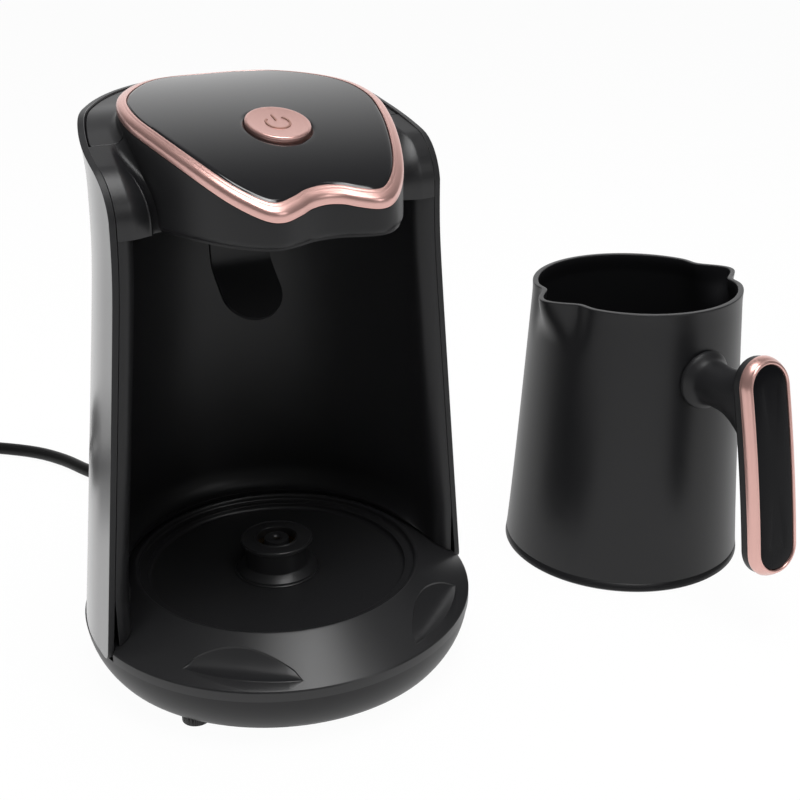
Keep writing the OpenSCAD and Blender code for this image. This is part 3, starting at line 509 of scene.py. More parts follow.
COATING = Finish("pot coating", "pot_coating", (0.01, 0.01, 0.011), 0.36, scale=1300, relief=0.02,
                 specular=0.35)
STEEL = Finish("plain steel", "steel", (0.56, 0.57, 0.59), 0.32, Grain.BRUSHED, 900, 0.01, metallic=1.0)
PLATED = Finish("plated pins", "plated_steel", (0.72, 0.72, 0.73), 0.16, Grain.BRUSHED, 700, 0.004,
                metallic=1.0)
ALUMINIUM = Finish("plain aluminium", "aluminium", (0.74, 0.74, 0.75), 0.38, Grain.BRUSHED, 500, 0.01,
                   metallic=1.0)
BRASS = Finish("contact brass", "brass", (0.72, 0.54, 0.22), 0.25, Grain.BRUSHED, 800, 0.006, metallic=1.0)
RUBBER = Finish("matte rubber", "rubber", (0.018, 0.018, 0.018), 0.62, scale=900, relief=0.03)
JACKET = Finish("cord jacket", "cord_jacket", (0.01, 0.01, 0.01), 0.42, scale=900, relief=0.02, specular=0.2)
BOARD = Finish("green board", "board", (0.03, 0.16, 0.07), 0.35, Grain.BOARD, 260, 0.05, tone=0.35)
PALE = Finish("off-white plastic", "light_plastic", (0.66, 0.65, 0.60), 0.45, relief=0.012)
INSULATION = Finish("lead insulation", "lead_insulation", (0.10, 0.13, 0.20), 0.4, relief=0.01)


def dress(piece: Piece, finish: Finish, body: str, *nodes: str) -> Piece:
    """Gives a new piece its finish and its body, and puts it in the place of CAD nodes.

    Args:
        piece: the new piece.
        finish: its finish.
        body: the CAD body it rides on.
        nodes: the CAD nodes it stands for.

    Returns:
        The piece.
    """
    piece.data.materials.clear()
    piece.data.materials.append(finish.material())
    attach(piece, body)
    if nodes:
        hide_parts(*nodes)
    LOG.info("%s rides on %s", piece.name, body)
    return piece


def dress_node(node: str, finish: Finish) -> None:
    """Gives a CAD node its finish and leaves its shape alone."""
    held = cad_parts[node]
    held.data.materials.clear()
    held.data.materials.append(finish.material())
    LOG.info("%s keeps its CAD shape", node)


def smooth_copy(node: str, finish: Finish, body: str, edge: float = 0.0, sharp: float = 30.0) -> Piece:
    """Stands a merged and smoothly shaded copy in the place of a CAD node.

    Args:
        node: name of the CAD node.
        finish: finish of the copy.
        body: the CAD body it rides on.
        edge: width of the rounding of its edges in millimetres, or 0 for none.
        sharp: angle in degrees from which an edge stays sharp.

    Returns:
        The copy.
    """
    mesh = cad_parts[node].data.copy()
    work = bmesh.new()
    work.from_mesh(mesh)
    bmesh.ops.remove_doubles(work, verts=work.verts, dist=2 * MERGE_WITHIN)
    if edge:
        bmesh.ops.dissolve_limit(work, angle_limit=math.radians(0.5), verts=work.verts, edges=work.edges)
    work.to_mesh(mesh)
    work.free()
    mesh.shade_smooth()
    mesh.set_sharp_from_angle(angle=math.radians(sharp))
    copy = stand(node + ".looks", mesh)
    if edge:
        soften(copy, edge)
    return dress(copy, finish, body, node)


# ---------------------------------------------------------------- shared forms


@dataclass
class ColumnForm:
    """Form of the half-round column: its plan at each height and the line of its top."""

    base_r: float = 79.0
    taper: float = 0.0945
    foot_z: float = 20.5
    head_z: float = 183.0
    wing_y: float = 16.5
    roof_rise: float = 25.2
    roof_slope: float = 0.33
    corner_r: float = 20.0
    fade_below: float = 11.0
    fade_w: float = 12.0
    flare_w: float = 3.8
    flare_from: float = 6.0
    flare_h: float = 30.0
    drawn_z: float = 25.0
    waist_y: float = -4.0
    waist_run: float = 8.0
    waist_h: float = 165.0
    wing_lean: float = 0.018
    shoulder_up: float = 10.0
    back_rise: float = 5.8
    back_slope: float = 0.125
    roof_bend: tuple[float, float] = (16, 38)
    side_steps: int = 14
    back_steps: int = 110

    def lean(self, z: Number) -> Number:
        """How much of the taper is used above a height; it fades out just below the head."""
        straight = self.head_z - self.fade_below
        return (np.sqrt((straight - z) ** 2 + self.fade_w**2) + straight - z) / 2

    def flare(self, z: Number) -> Number:
        """How far the sides open out at the top: it grows with the cube of the height in the head."""
        return self.flare_w * np.clip((z - self.head_z - self.flare_from) / self.flare_h, 0, None) ** 3

    def half_width(self, z: Number) -> Number:
        """Half width of the column at a height."""
        return self.base_r - self.taper * (self.lean(self.foot_z) - self.lean(z)) + self.flare(z)

    def waist(self, z: Number) -> Number:
        """Where the straight sides end and the half-round back begins."""
        return self.waist_y - self.waist_run * (z - self.drawn_z) / self.waist_h

    def front(self, z: Number) -> Number:
        """Plane of the wings' front faces."""
        return -self.wing_y - self.wing_lean * (z - self.drawn_z)

    @property
    def face_y(self) -> float:
        """The front plane at the shoulders."""
        return self.front(self.head_z + self.shoulder_up)

    @property
    def corner_y(self) -> float:
        """Centre of the rounded front corner of the top."""
        return self.face_y + self.corner_r

    @property
    def corner_z(self) -> float:
        """Height of that centre: the arc meets the front plane and the sloped roof smoothly."""
        above = self.corner_r / math.cos(math.atan(self.roof_slope))
        return self.head_z + self.roof_rise + self.roof_slope * self.corner_y - above

    @property
    def corner_end(self) -> float:
        """Where the arc ends and the roof begins."""
        return self.corner_y - self.corner_r * math.sin(math.atan(self.roof_slope))

    def roof(self, y: Number) -> Number:
        """Height of the column's top behind the corner: two slopes blended into each other."""
        front = self.roof_rise + self.roof_slope * y
        back = self.roof_rise + self.back_rise + self.back_slope * y
        return self.head_z + mix(front, back, ease(*self.roof_bend, y))

    def top(self, y: Number) -> Number:
        """Height of the column's top anywhere: the corner's arc, then the roof."""
        dip = np.sqrt(np.clip(self.corner_r**2 - (y - self.corner_y) ** 2, 0, None))
        return np.where(y >= self.corner_end, self.roof(y), self.corner_z + dip)

    def plan(self, z: Number, inset: float) -> Array:
        """Plan of the column: straight sides, then a half ellipse around the back.

        Args:
            z: heights, as a column of rows or one for each place of the plan.
            inset: distance inside the outer face.

        Returns:
            Array (rows, places, 2) of x and y.
        """
        side = np.linspace(0, 1, self.side_steps, endpoint=False) ** 1.4
        turn = np.radians(np.linspace(0, 180, self.back_steps + 1))
        along = np.concatenate([side, np.ones(len(turn)), side[::-1]])
        cos = np.concatenate([-np.ones(len(side)), -np.cos(turn), np.ones(len(side))])
        sin = np.concatenate([np.zeros(len(side)), np.sin(turn), np.zeros(len(side))])
        half = self.half_width(z) - inset
        depth = half - self.flare(z)
        waist = self.waist(z)
        y = waist + (self.front(z) - waist) * (1 - along) + (depth - waist) * sin
        return np.stack(np.broadcast_arrays(half * cos, y), -1)

    def lip(self, inset: float) -> Array:
        """Top line of the column: the top's height over the plan at that height, closed in on in four rounds.

        Args:
            inset: distance inside the outer face.

        Returns:
            Array (places, 3).
        """
        z = np.full((1, 2 * self.side_steps + self.back_steps + 1), self.head_z + 30.0)
        for _ in range(4):
            z = self.top(self.plan(z, inset)[..., 1])
        return np.concatenate([self.plan(z, inset)[0], z[0][:, None]], -1)


@dataclass
class HeadForm:
    """Form of the head: the outline of its panel and the dome over it."""

    head_z: float = 183.0
    head_h: float = 42.25
    dome_r: float = 203.4
    dome_y: float = 46.7
    ring_w: float = 3.7
    ring_h: float = 4.2
    ring_gap: float = 0.3
    half: tuple = ((0, 46.5), (16.4, 45.5), (27, 39.5), (37.7, 27), (43.6, 15), (45.1, 1), (42.6, -12.4),
                   (38.5, -25.4), (33.5, -37.4), (28.7, -45.6), (22.8, -51.8), (18.3, -53.4), (12.3, -51.8),
                   (6.7, -49.6), (0, -48.7))

    @property
    def housing(self) -> float:
        """Distance of the housing's outside from the panel's edge."""
        return self.ring_w + 0.1

    def dome(self, y: Number) -> Number:
        """Height of the domed top: a cylinder across the machine."""
        return self.head_z + self.head_h - self.dome_r + np.sqrt(self.dome_r**2 - (y - self.dome_y) ** 2)

    def outline(self, offset: float, steps: int = 10) -> Array:
        """The panel's outline, moved outwards: a smooth loop through the half outline and its mirror image.

        Args:
            offset: distance outwards in millimetres.
            steps: steps between two points of the drawing.

        Returns:
            Array (places, 2) of x and y.
        """
        half = np.array(self.half, float)
        loop = catmull_rom(np.vstack([half, half[-2:0:-1] * [-1, 1]]), steps, closed=True)
        along = np.roll(loop, -1, 0) - np.roll(loop, 1, 0)
        away = np.stack([-along[:, 1], along[:, 0]], -1) / np.linalg.norm(along, axis=1)[:, None]
        return loop + offset * away

    def reach(self, offset: float, centre: tuple[float, float], angle: Array) -> Array:
        """Distance from a centre to the moved outline in each direction.

        Args:
            offset: distance of the outline outside the panel's edge.
            centre: point inside the outline.
            angle: directions in radians.

        Returns:
            The distances.
        """
        return reach_of(self.outline(offset) - centre, angle)

    def side(self, offset: float, y: Number) -> Number:
        """Half width of the moved outline.

        Args:
            offset: distance of the outline outside the panel's edge.
            y: place in front of or behind the axis.

        Returns:
            The half widths.
        """
        loop = self.outline(offset)
        loop = loop[(loop[:, 0] > 20) & (loop[:, 1] > -46)]
        order = np.argsort(loop[:, 1])
        return np.interp(y, loop[order, 1], loop[order, 0])


# ---------------------------------------------------------------- base and inner works


@dataclass
class BaseCover:
    """Cover of the base: tray recess, sloped ring with two finger dishes, and its edge."""

    form: ColumnForm
    base_r: float = 79.0
    crease_z: float = 24.0
    foot_z: float = 20.15
    tray_z: float = 31.0
    hole_r: float = 12.2
    ledge_r: float = 52.5
    ledge_z: float = 33.6
    tray_r: float = 56.4
    rim_z: float = 36.2
    rim_edge: float = 1.2
    slope: float = 0.5788
    skin_t: float = 2.2
    inset: float = 2.9
    dish_ends: tuple[float, float] = (53.6, 18.2)
    dish_line: tuple[float, float] = (73.9, 75.6)
    dish_in: float = 11.6
    lip_w: float = 2.1
    lip_h: float = 0.9
    step: float = 0.55
    scoop: float = 1.9

    def cone(self, r: Number) -> Number:
        """Height of the slope at a radius."""
        return self.crease_z + (self.base_r - r) * self.slope

    def reach(self, angle: Array) -> Array:
        """Outer radius at angles from the front: the base circle, and inside the column behind the wings.

        Args:
            angle: degrees from the front, positive to the right.

        Returns:
            The radii.
        """
        plan = self.form.plan(np.array([[self.crease_z]]), self.inset)[0]
        column = reach_of(plan[:, ::-1] * [-1, 1], np.radians(angle))
        free = -self.base_r * np.cos(np.radians(angle)) < self.form.front(self.crease_z) - 0.5
        return np.where(free, self.base_r, np.minimum(column, self.base_r))

    def dish_rows(self, angle: Array) -> tuple[Array, Array]:
        """Rows across a finger dish: a small step down, a scooped floor, a proud lip and its front face.

        The floor is flatter than the slope. Beside the dishes the rows fall together.

        Args:
            angle: degrees from the front.

        Returns:
            Radii and heights, both (rows, places).
        """
        start, end = self.dish_ends
        share = np.clip((start - np.abs(angle)) / (start - end), 0, 1)
        bow = np.sin(np.pi * share**0.9)
        deep = np.minimum(self.dish_in * bow**0.62, np.minimum(85 * share, 66 * (1 - share)))
        lip = self.lip_w * np.clip(np.minimum(share * 1.9, (1 - share) * 9), 0, 1)
        proud = self.lip_h * lip / self.lip_w
        line = mix(*self.dish_line, share)
        inner, crest = line - deep, line + 0.9 * proud
        v = np.linspace(0, 1, 15)[:, None]
        near = np.minimum(0.22, deep / 8)
        r = mix(inner + near, crest - near, v)
        drop = mix(-np.minimum(self.step, deep / 5), proud, v) - self.scoop * np.sin(np.pi * v) * bow
        rows = np.vstack([inner[None], (inner + 0.2 * near)[None], r, crest[None], (crest + 0.5 * near)[None],
                          (crest + lip)[None]])
        above = np.vstack([0 * inner[None], -0.1 * near[None], drop, (proud - 0.1 * near)[None],
                           (proud - 0.6 * near)[None], 0 * inner[None]])
        return rows, self.cone(rows) + above

    def build(self) -> None:
        """Makes the cover: rows from the hole over tray, ledge, rim, slope and edge, and back underneath."""
        fine = np.arange(self.dish_ends[1] - 2, self.dish_ends[0] + 2, 0.35)
        wide = np.concatenate([np.arange(-self.dish_ends[1] + 2, self.dish_ends[1] - 2, 1.0),
                               np.arange(self.dish_ends[0] + 2, 360 - self.dish_ends[0] - 2, 1.0)])
        angle = np.sort(np.concatenate([fine, -fine, (wide + 180) % 360 - 180]))
        edge = self.tray_r + self.rim_edge
        tray = np.vstack([
            [[self.hole_r, self.tray_z]], [[self.ledge_r - 1.8, self.tray_z]],
            arc(self.ledge_r - 1.6, self.tray_z + 1.6, 1.6, 275, 360, 6),
            arc(self.ledge_r + 0.3, self.ledge_z - 0.3, 0.3, 180, 90, 4),
            [[self.ledge_r + 2.4, self.ledge_z]],
            arc(self.tray_r - 0.9, self.ledge_z + 0.9, 0.9, 280, 360, 5),
            arc(edge, self.rim_z - self.rim_edge, self.rim_edge, 180, 60, 9)])
        dish_r, dish_z = self.dish_rows(angle)
        first = tray[-1, 0] + (dish_r[0] - tray[-1, 0]) * np.linspace(0.05, 0.98, 9)[:, None]
        last = dish_r[-1] + (self.base_r - 0.45 - dish_r[-1]) * np.linspace(0.04, 1, 5)[:, None]
        count = len(angle)
        side = np.array([[-0.2, -0.06], [-0.05, -0.25], [0.0, -0.5]])
        r = np.vstack([np.repeat(tray[:, :1], count, 1), first, dish_r, last,
                       np.repeat(self.base_r + side[:, :1], count, 1)])
        z = np.vstack([np.repeat(tray[:, 1:], count, 1), self.cone(first), dish_z, self.cone(last),
                       np.repeat(self.crease_z + side[:, 1:], count, 1)])
        limit = self.reach(angle)
        over = r > limit
        z = np.where(over, np.minimum(z, self.cone(np.minimum(r, limit))), z)
        r = np.minimum(r, limit)
        under = np.array([[0, self.foot_z], [-self.skin_t, self.foot_z]])
        inside = np.array([[edge, self.rim_z - 3.4], [self.ledge_r, self.tray_z - self.skin_t],
                           [self.hole_r, self.tray_z - self.skin_t]])
        r = np.vstack([r, limit + under[:, :1], (limit - self.skin_t - 1)[None],
                       np.repeat(inside[:, :1], count, 1)])
        z = np.vstack([z, np.repeat(under[:, 1:], count, 1), np.full((1, count), self.foot_z + 2.4),
                       np.repeat(inside[:, 1:], count, 1)])
        turn = np.radians(angle)
        points = np.stack([r * np.sin(turn), -r * np.cos(turn), z], -1)
        dress(closed_piece("base_cover.looks", points, 19), SATIN, "machine", "base_cover")


@dataclass
class Tower:
    """Connector tower in the tray: a grooved disc on a shaft with a flared skirt."""

    tray_z: float = 31.0
    height: float = 14.0
    disc_r: float = 14.6
    shaft_r: float = 13.0
    skirt_r: float = 16.4
    barrel_r: float = 12.0
    groove: tuple[float, float] = (5.0, 8.1)

    def build(self) -> None:
        """Turns the tower's profile about the machine's axis."""
        h, (near, far) = self.height, self.groove
        section = np.array([
            [1.6, -10.9], [1.6, h - 0.8], [2.2, h - 0.1], [near - 0.35, h], [near - 0.1, h - 0.06],
            [near, h - 0.3], [near, h / 2], [far, h / 2], [far, h + 0.2], [far + 0.12, h + 0.44],
            [far + 0.35, h + 0.5], [far + 0.65, h + 0.44], [far + 0.85, h + 0.1], [far + 1.1, h],
            [self.disc_r - 0.9, h], [self.disc_r - 0.6, h + 0.18], [self.disc_r - 0.25, h + 0.2],
            [self.disc_r, h - 0.05], [self.disc_r, h - 1.2], [self.disc_r - 0.3, h - 1.5],
            [self.shaft_r, h - 1.7], [self.shaft_r, 3.6], [self.shaft_r + 0.15, 3.35],
            [self.skirt_r - 0.2, 1.45], [self.skirt_r, 1.2],
            [self.skirt_r, 0.75], [self.skirt_r + 0.7, 0.72], [self.skirt_r + 0.95, 0.5],
            [self.skirt_r + 0.95, 0.05], [self.barrel_r, 0.05], [self.barrel_r, -10.9]])
        points = lathe(section, np.array([0.0, 0.0, self.tray_z]), np.array([0.0, 0.0, 1.0]), 128)
        dress(closed_piece("connector_tower.looks", points, 25), SATIN, "machine", "connector_tower")


@dataclass
class Base:
    """Base tub, feet and everything inside."""

    smooth: tuple = (("base_tub", BLACK), ("feet", RUBBER))
    plain: tuple = (
        ("base_screws", STEEL), ("tower_nut", GREY), ("contact_rings", BRASS), ("centre_pin", BRASS),
        ("power_board", BOARD), ("relay", BLACK), ("terminal_block", PALE), ("mains_leads", INSULATION),
        ("wiring_loom", INSULATION), ("head_screws", STEEL), ("switch_plunger", PALE), ("switch_body", BLACK),
        ("control_board", BOARD), ("buzzer", BLACK), ("board_screws", STEEL), ("sensor_probe", STEEL))

    def build(self) -> None:
        """Dresses the base and the inner pieces."""
        for node, finish in self.smooth:
            smooth_copy(node, finish, "machine")
        for node, finish in self.plain:
            dress_node(node, finish)


# ---------------------------------------------------------------- column


@dataclass
class Column:
    """Outer shell, cavity wall with its wing strips, shoulders and top cover."""

    form: ColumnForm
    head: HeadForm
    cover: BaseCover
    shell_t: float = 2.4
    strip_in: float = 2.6
    strip_end: float = 6.0
    side_gap: float = 9.5
    chamfer: float = 3.8
    foot_r: float = 61.0
    fillet: float = 10.0
    split_y: float = 6.5
    seam: float = 0.2
    cove: float = 3.7
    groove: float = 2.6
    groove_w: float = 4.8
    flat_w: float = 5.2
    fall: float = 2.4
    ridge: float = 0.3
    ridge_w: float = 0.45
    foot_corner: float = 4.0
    wall: float = 2.2
    liner_t: float = 1.8

    def outer_shell(self) -> None:
        """Polished skin around sides and back: the plan at heights from the rounded foot to the lip."""
        form = self.form
        lip = form.lip(0)[:, 2]
        low = form.plan(np.full((1, len(lip)), form.foot_z), 0)[0, :, 1]
        near = np.clip(self.foot_corner - (low - low.min()), 0, None)
        foot = form.foot_z + self.foot_corner - np.sqrt(self.foot_corner**2 - near**2)
        share = np.linspace(0, 1, 64)[:, None]
        z = mix(foot[None], lip[None], share)
        plan = form.plan(z, 0)
        skin = Skin()
        skin.grid(np.concatenate([plan, z[..., None]], -1))
        skin.turn_faces(np.array([0.0, 10.0, 120.0]), outwards=True)
        shell = skin.sheet("outer_shell.looks", self.shell_t, 0.5, sharp=38.0)
        dress(shell, SHELL, "machine", "outer_shell")
        # The rim faces, the lip and the wings' front faces, take the satin black finish: duller than the
        # polished shell, and darker as painted shade on the same moulding.
        shell.data.materials.append(BLACK.material())
        shell.modifiers["wall"].material_offset_rim = 1

    def cavity_plan(self, z: Array) -> Array:
        """Plan of wing strip, soft crease and cavity wall at heights z, from left to right.

        Args:
            z: column (rows, 1) of heights.

        Returns:
            Array (rows, places, 2).
        """
        form = self.form
        half, waist, front = form.half_width(z), form.waist(z), form.front(z)
        wide = half - self.side_gap
        corners = np.stack([
            np.concatenate([half - self.strip_in, front], -1),
            np.concatenate([half - self.strip_end, front], -1),
            np.concatenate([wide, front + self.chamfer], -1),
            np.concatenate([wide, waist], -1)], -2)
        soft = rounded(corners, 3)
        turn = np.radians(np.linspace(0, 180, 91))[None]
        deep = wide + 0.5 - waist
        back = np.stack([-wide * np.cos(turn), waist + deep * np.sin(turn)], -1)
        left = soft * [-1, 1]
        return np.concatenate([left, back[:, 1:-1], soft[:, ::-1]], 1)

    def cavity_liner(self) -> None:
        """Cavity wall: a quarter-round foot on the base, then the tapering wall up to the head."""
        foot_z = self.cover.rim_z + 0.2
        bend_z = foot_z + self.fillet
        rise = np.linspace(bend_z, self.form.head_z - 0.04, 48)[:, None]
        plan = self.cavity_plan(rise)
        wall = np.concatenate([plan, np.broadcast_to(rise[..., None], plan.shape[:2] + (1,))], -1)
        start = self.cavity_plan(np.array([[bend_z]]))[0]
        share = ease(-self.form.wing_y + 5, 8, start[:, 1])
        radius = np.linalg.norm(start, axis=1)
        low = mix(self.cover.cone(radius) + 0.3, foot_z, share)
        turn = np.radians(np.linspace(90, 0, 10, endpoint=False))[:, None]
        inward = share * (1 - np.cos(turn))
        goal = start / radius[:, None] * self.foot_r
        foot = mix(start[None], goal[None], inward[..., None])
        height = mix(low[None], bend_z, 1 - np.sin(turn))
        skin = Skin()
        skin.grid(np.concatenate([np.concatenate([foot, height[..., None]], -1), wall]))
        skin.turn_faces(np.array([0.0, 0.0, 110.0]), outwards=False)
        dress(skin.sheet("cavity_liner.looks", self.liner_t, 0.12), BLACK, "machine", "cavity_liner")

    def cove_rise(self, gap: Array, room: Array) -> Array:
        """How far the cove beside the housing rises: a quarter round of the radius that there is room for.

        Args:
            gap: distance from the housing's wall.
            room: height free above the surface, below the ring.

        Returns:
            The rise, 0 beyond the cove's radius.
        """
        r = np.clip(0.8 * room, 0.4, self.cove)
        short = np.clip(r - gap, 0, None)
        return r - np.sqrt(np.clip(r**2 - short**2, 0, None))

    def side_line(self) -> tuple[Array, Array]:
        """Side view of a shoulder: roof, rounded corner and front face, with its normals.

        Returns:
            Points (k, 2) of y and z, and outward normals (k, 2).
        """
        form = self.form
        slope = math.degrees(math.atan(form.roof_slope))
        y = np.linspace(self.split_y - self.seam / 2, form.corner_end, 9)[:-1]
        roof = np.stack([y, form.roof(y)], -1)
        bend = arc(form.corner_y, form.corner_z, form.corner_r, 90 + slope, 180, 26)
        down = np.linspace(0, 1, 9)[1:, None]
        face = np.concatenate([np.full_like(down, form.face_y), mix(form.corner_z, form.head_z, down)], -1)
        line = np.vstack([roof, bend, face])
        along = np.gradient(line, axis=0)
        normal = np.stack([along[:, 1], -along[:, 0]], -1) / np.linalg.norm(along, axis=1)[:, None]
        return line, normal

    def shoulder(self, side: int) -> Skin:
        """One shoulder: the side line carried across, with a cove along the housing.

        Towards the front the cove turns into a groove, whose depth is that of a quarter ellipse, with a fine
        ridge at its edge. Beside it the surface falls inwards with the power 1.5 of the distance from the
        flat outer band.

        Args:
            side: 1 for the right shoulder, -1 for the left one.

        Returns:
            The shoulder's sheet.
        """
        form = self.form
        line, normal = self.side_line()
        y, z = line[:, :1], line[:, 1:]
        inner = self.head.side(self.head.housing + 0.05, y)
        outer = form.half_width(z) - self.strip_in
        share = np.linspace(0, 1, 110)[None]
        x = mix(inner, outer, share)
        room = self.head.dome(y) - self.head.ring_h - form.top(y)
        front = ease(form.corner_end + 12, form.corner_end - 8, y)
        gap = x - inner
        within = np.sqrt(np.clip(1 - (gap / self.groove_w) ** 2, 0, 1))
        start = mix(self.groove_w + 1, outer - inner - self.flat_w, front)
        fall = self.fall * np.clip((start - gap) / (start - self.groove_w), 0, 1) ** 1.5
        ridge = self.ridge * np.exp(-(((gap - self.groove_w) / self.ridge_w) ** 2))
        rise = self.cove_rise(gap, room) * (1 - front) + (ridge - fall - self.groove * within) * front
        points = np.stack([side * x, y + rise * normal[:, :1], z + rise * normal[:, 1:]], -1)
        skin = Skin()
        skin.grid(points)
        skin.turn_faces(np.array([side * 50.0, 20.0, 170.0]), outwards=True)
        return skin

    def shoulder_covers(self) -> None:
        """Both shoulders as one piece, as in the CAD node."""
        skin = self.shoulder(1)
        other = self.shoulder(-1)
        skin.faces += [[i + skin.count for i in face] for face in other.faces]
        skin.points += other.points
        skin.count += other.count
        dress(skin.sheet("shoulder_covers.looks", self.wall, 0.12), GREY, "machine", "shoulder_covers")

    def top_cover(self) -> None:
        """Cover behind the shoulders: spokes from the housing to the shell's lip, at the roof's height."""
        form = self.form
        centre = (0.0, self.split_y + self.seam / 2)
        angle = np.radians(np.linspace(0, 180, 121))[:, None]
        inner = self.head.reach(self.head.housing + 0.05, centre, angle)
        lip = form.lip(self.shell_t + 0.6)
        spokes = lip[:, :2] - centre
        outer = reach_of(spokes[spokes[:, 1] > -3], angle, period=None)
        share = np.concatenate([np.linspace(0, 0.5, 16), np.linspace(0.55, 1, 10)])[None]
        reach = mix(inner, outer, share)
        x, y = centre[0] + reach * np.cos(angle), centre[1] + reach * np.sin(angle)
        room = self.head.dome(y) - self.head.ring_h - form.roof(y)
        z = form.roof(y) + self.cove_rise(reach - inner, room)
        skin = Skin()
        skin.grid(np.stack([x, y, z], -1))
        skin.turn_faces(np.array([0.0, 30.0, 100.0]), outwards=True)
        dress(skin.sheet("top_cover.looks", self.wall, 0.3), GREY, "machine", "top_cover")

    def build(self) -> None:
        """Makes the column's pieces."""
        self.outer_shell()
        self.cavity_liner()
        self.shoulder_covers()
        self.top_cover()


# ---------------------------------------------------------------- head


@dataclass
class Head:
    """Housing, ring, glossy panel, button and sensor hood."""

    form: HeadForm
    column: ColumnForm
    wall: float = 2.2
    foot_round: float = 3.0
    panel_t: float = 2.2
    button_r: float = 11.8
    button_y: float = 15.4
    button_gap: float = 0.4
    button_proud: float = 1.4
    button_hollow: float = 0.35
    flange_t: float = 3.0
    flange_back: float = 5.4
    flange_inset: float = 3.5
    symbol_r: float = 4.3
    symbol_bar: tuple[float, float] = (1.2, 6.2)
    symbol_t: float = 0.5
    hood_w: float = 12.3
    hood_t: float = 1.8

    @property
    def tilt(self) -> float:
        """Lean of the button's axis, which is square to the dome."""
        return math.asin((self.form.dome_y + self.button_y) / self.form.dome_r)

    def on_button(self, local: Array) -> Array:
        """Moves points from the button's own frame, z along its axis, to the machine's.

        Args:
            local: array (..., 3).

        Returns:
            The moved points.
        """
        c, s = math.cos(self.tilt), math.sin(self.tilt)
        y = local[..., 1] * c - local[..., 2] * s - self.button_y
        z = local[..., 1] * s + local[..., 2] * c + float(self.form.dome(-self.button_y))
        return np.stack([local[..., 0], y, z], -1)

    def rings(self, section: Array, depth_from_dome: bool = True) -> Array:
        """Carries a section around the panel's outline.

        Args:
            section: array (k, 2) of offset and depth.
            depth_from_dome: whether depth is counted down from the dome, or is a height.

        Returns:
            Array (k, places, 3).
        """
        rows = []
        for offset, depth in section:
            plan = self.form.outline(offset)
            z = self.form.dome(plan[:, 1]) - depth if depth_from_dome else np.full(len(plan), depth)
            rows.append(np.concatenate([plan, z[:, None]], -1))
        return np.array(rows)

    def housing(self) -> None:
        """Tub under the ring, with a rounded lower edge, and the flange over the cavity."""
        form, out = self.form, self.form.housing
        bend = arc(out - self.foot_round, form.head_z + self.foot_round, self.foot_round, -90, 0, 9)
        foot = self.rings(bend, depth_from_dome=False)
        upright = self.rings(np.array([[out, form.ring_h + 0.2], [out - self.wall, form.ring_h + 0.2]]))
        inside = self.rings(np.array([[out - self.wall, form.head_z + self.wall]]), depth_from_dome=False)
        rows = np.concatenate([foot, upright, inside])
        skin = Skin()
        skin.tube(rows, np.array([0, 0, form.head_z]), np.array([0, 0, form.head_z + self.wall]))
        angle = np.radians(np.arange(0, 360, 2.0))[:, None]
        centre = (0.0, 8.0)
        near = form.reach(out - 1, centre, angle)
        plan = self.column.plan(np.array([[form.head_z + self.flange_t]]), self.flange_inset)[0]
        far = reach_of(plan - centre, angle)
        front_y = self.column.face_y + self.wall + self.flange_back - centre[1]
        front = np.where(np.sin(angle) < 0, front_y / np.minimum(np.sin(angle), -1e-6), 1e3)
        far = np.maximum(np.minimum(far, front), near + 0.02)
        loop = np.stack([near, far, far, near], 0)
        level = np.array([0.0, 0.0, self.flange_t, self.flange_t])[:, None, None] + form.head_z + 0.02
        flange = np.stack([loop * np.cos(angle) + centre[0], loop * np.sin(angle) + centre[1],
                           np.broadcast_to(level, loop.shape)], -1)[:, :, 0]
        skin.grid(flange, wrap_rows=True, wrap_cols=True)
        dress(skin.make("head_housing.looks"), BLACK, "machine", "head_housing")

    def trim_ring(self) -> None:
        """Metal-coloured ring: inner band, fine groove, sloped outer band and a ledge under the panel."""
        form = self.form
        inner, outer, deep = form.ring_gap, form.ring_w + form.ring_gap, form.ring_h
        section = np.vstack([
            arc(inner + 0.25, 0.25, 0.25, 180, 270, 3),
            [[1.0, 0.02], [1.4, 0.1], [1.55, 0.2], [1.7, 0.17], [2.2, 0.27], [2.8, 0.43], [3.3, 0.62],
             [3.6, 0.9], [3.85, 1.35], [3.95, 1.8], [outer, 2.3]],
            arc(outer - 0.35, deep - 0.35, 0.35, 0, 90, 4),
            [[-1.6, deep], [-1.6, self.panel_t + 0.4], [inner, self.panel_t + 0.4]]])
        dress(closed_piece("trim_ring.looks", self.rings(section), 50), ROSE, "machine", "trim_ring")

    def top_panel(self) -> None:
        """Glossy panel: spokes from the button's hole to the outline, over the dome, closed underneath."""
        form = self.form
        angle = np.radians(np.arange(0, 360, 1.5))[None]
        centre = (0.0, -self.button_y)
        hole = self.button_r + self.button_gap
        rim = form.reach(0, centre, angle)
        near = np.array([0, 0.004, 0.012, 0.03])
        share = np.concatenate([near, np.linspace(0.07, 0.93, 20), 1 - near[::-1]])[:, None]
        reach = mix(hole, rim, share)
        edge = np.minimum(rim - reach, reach - hole)
        soft = 0.35 * (1 - ease(0, 0.5, edge))
        x, y = centre[0] + reach * np.cos(angle), centre[1] + reach * np.sin(angle)
        top = np.stack([x, y, form.dome(y) - soft], -1)
        under = np.stack([x, y, form.dome(y) - self.panel_t], -1)[::-1]
        dress(closed_piece("top_panel.looks", np.concatenate([top, under])), PANEL, "machine", "top_panel")

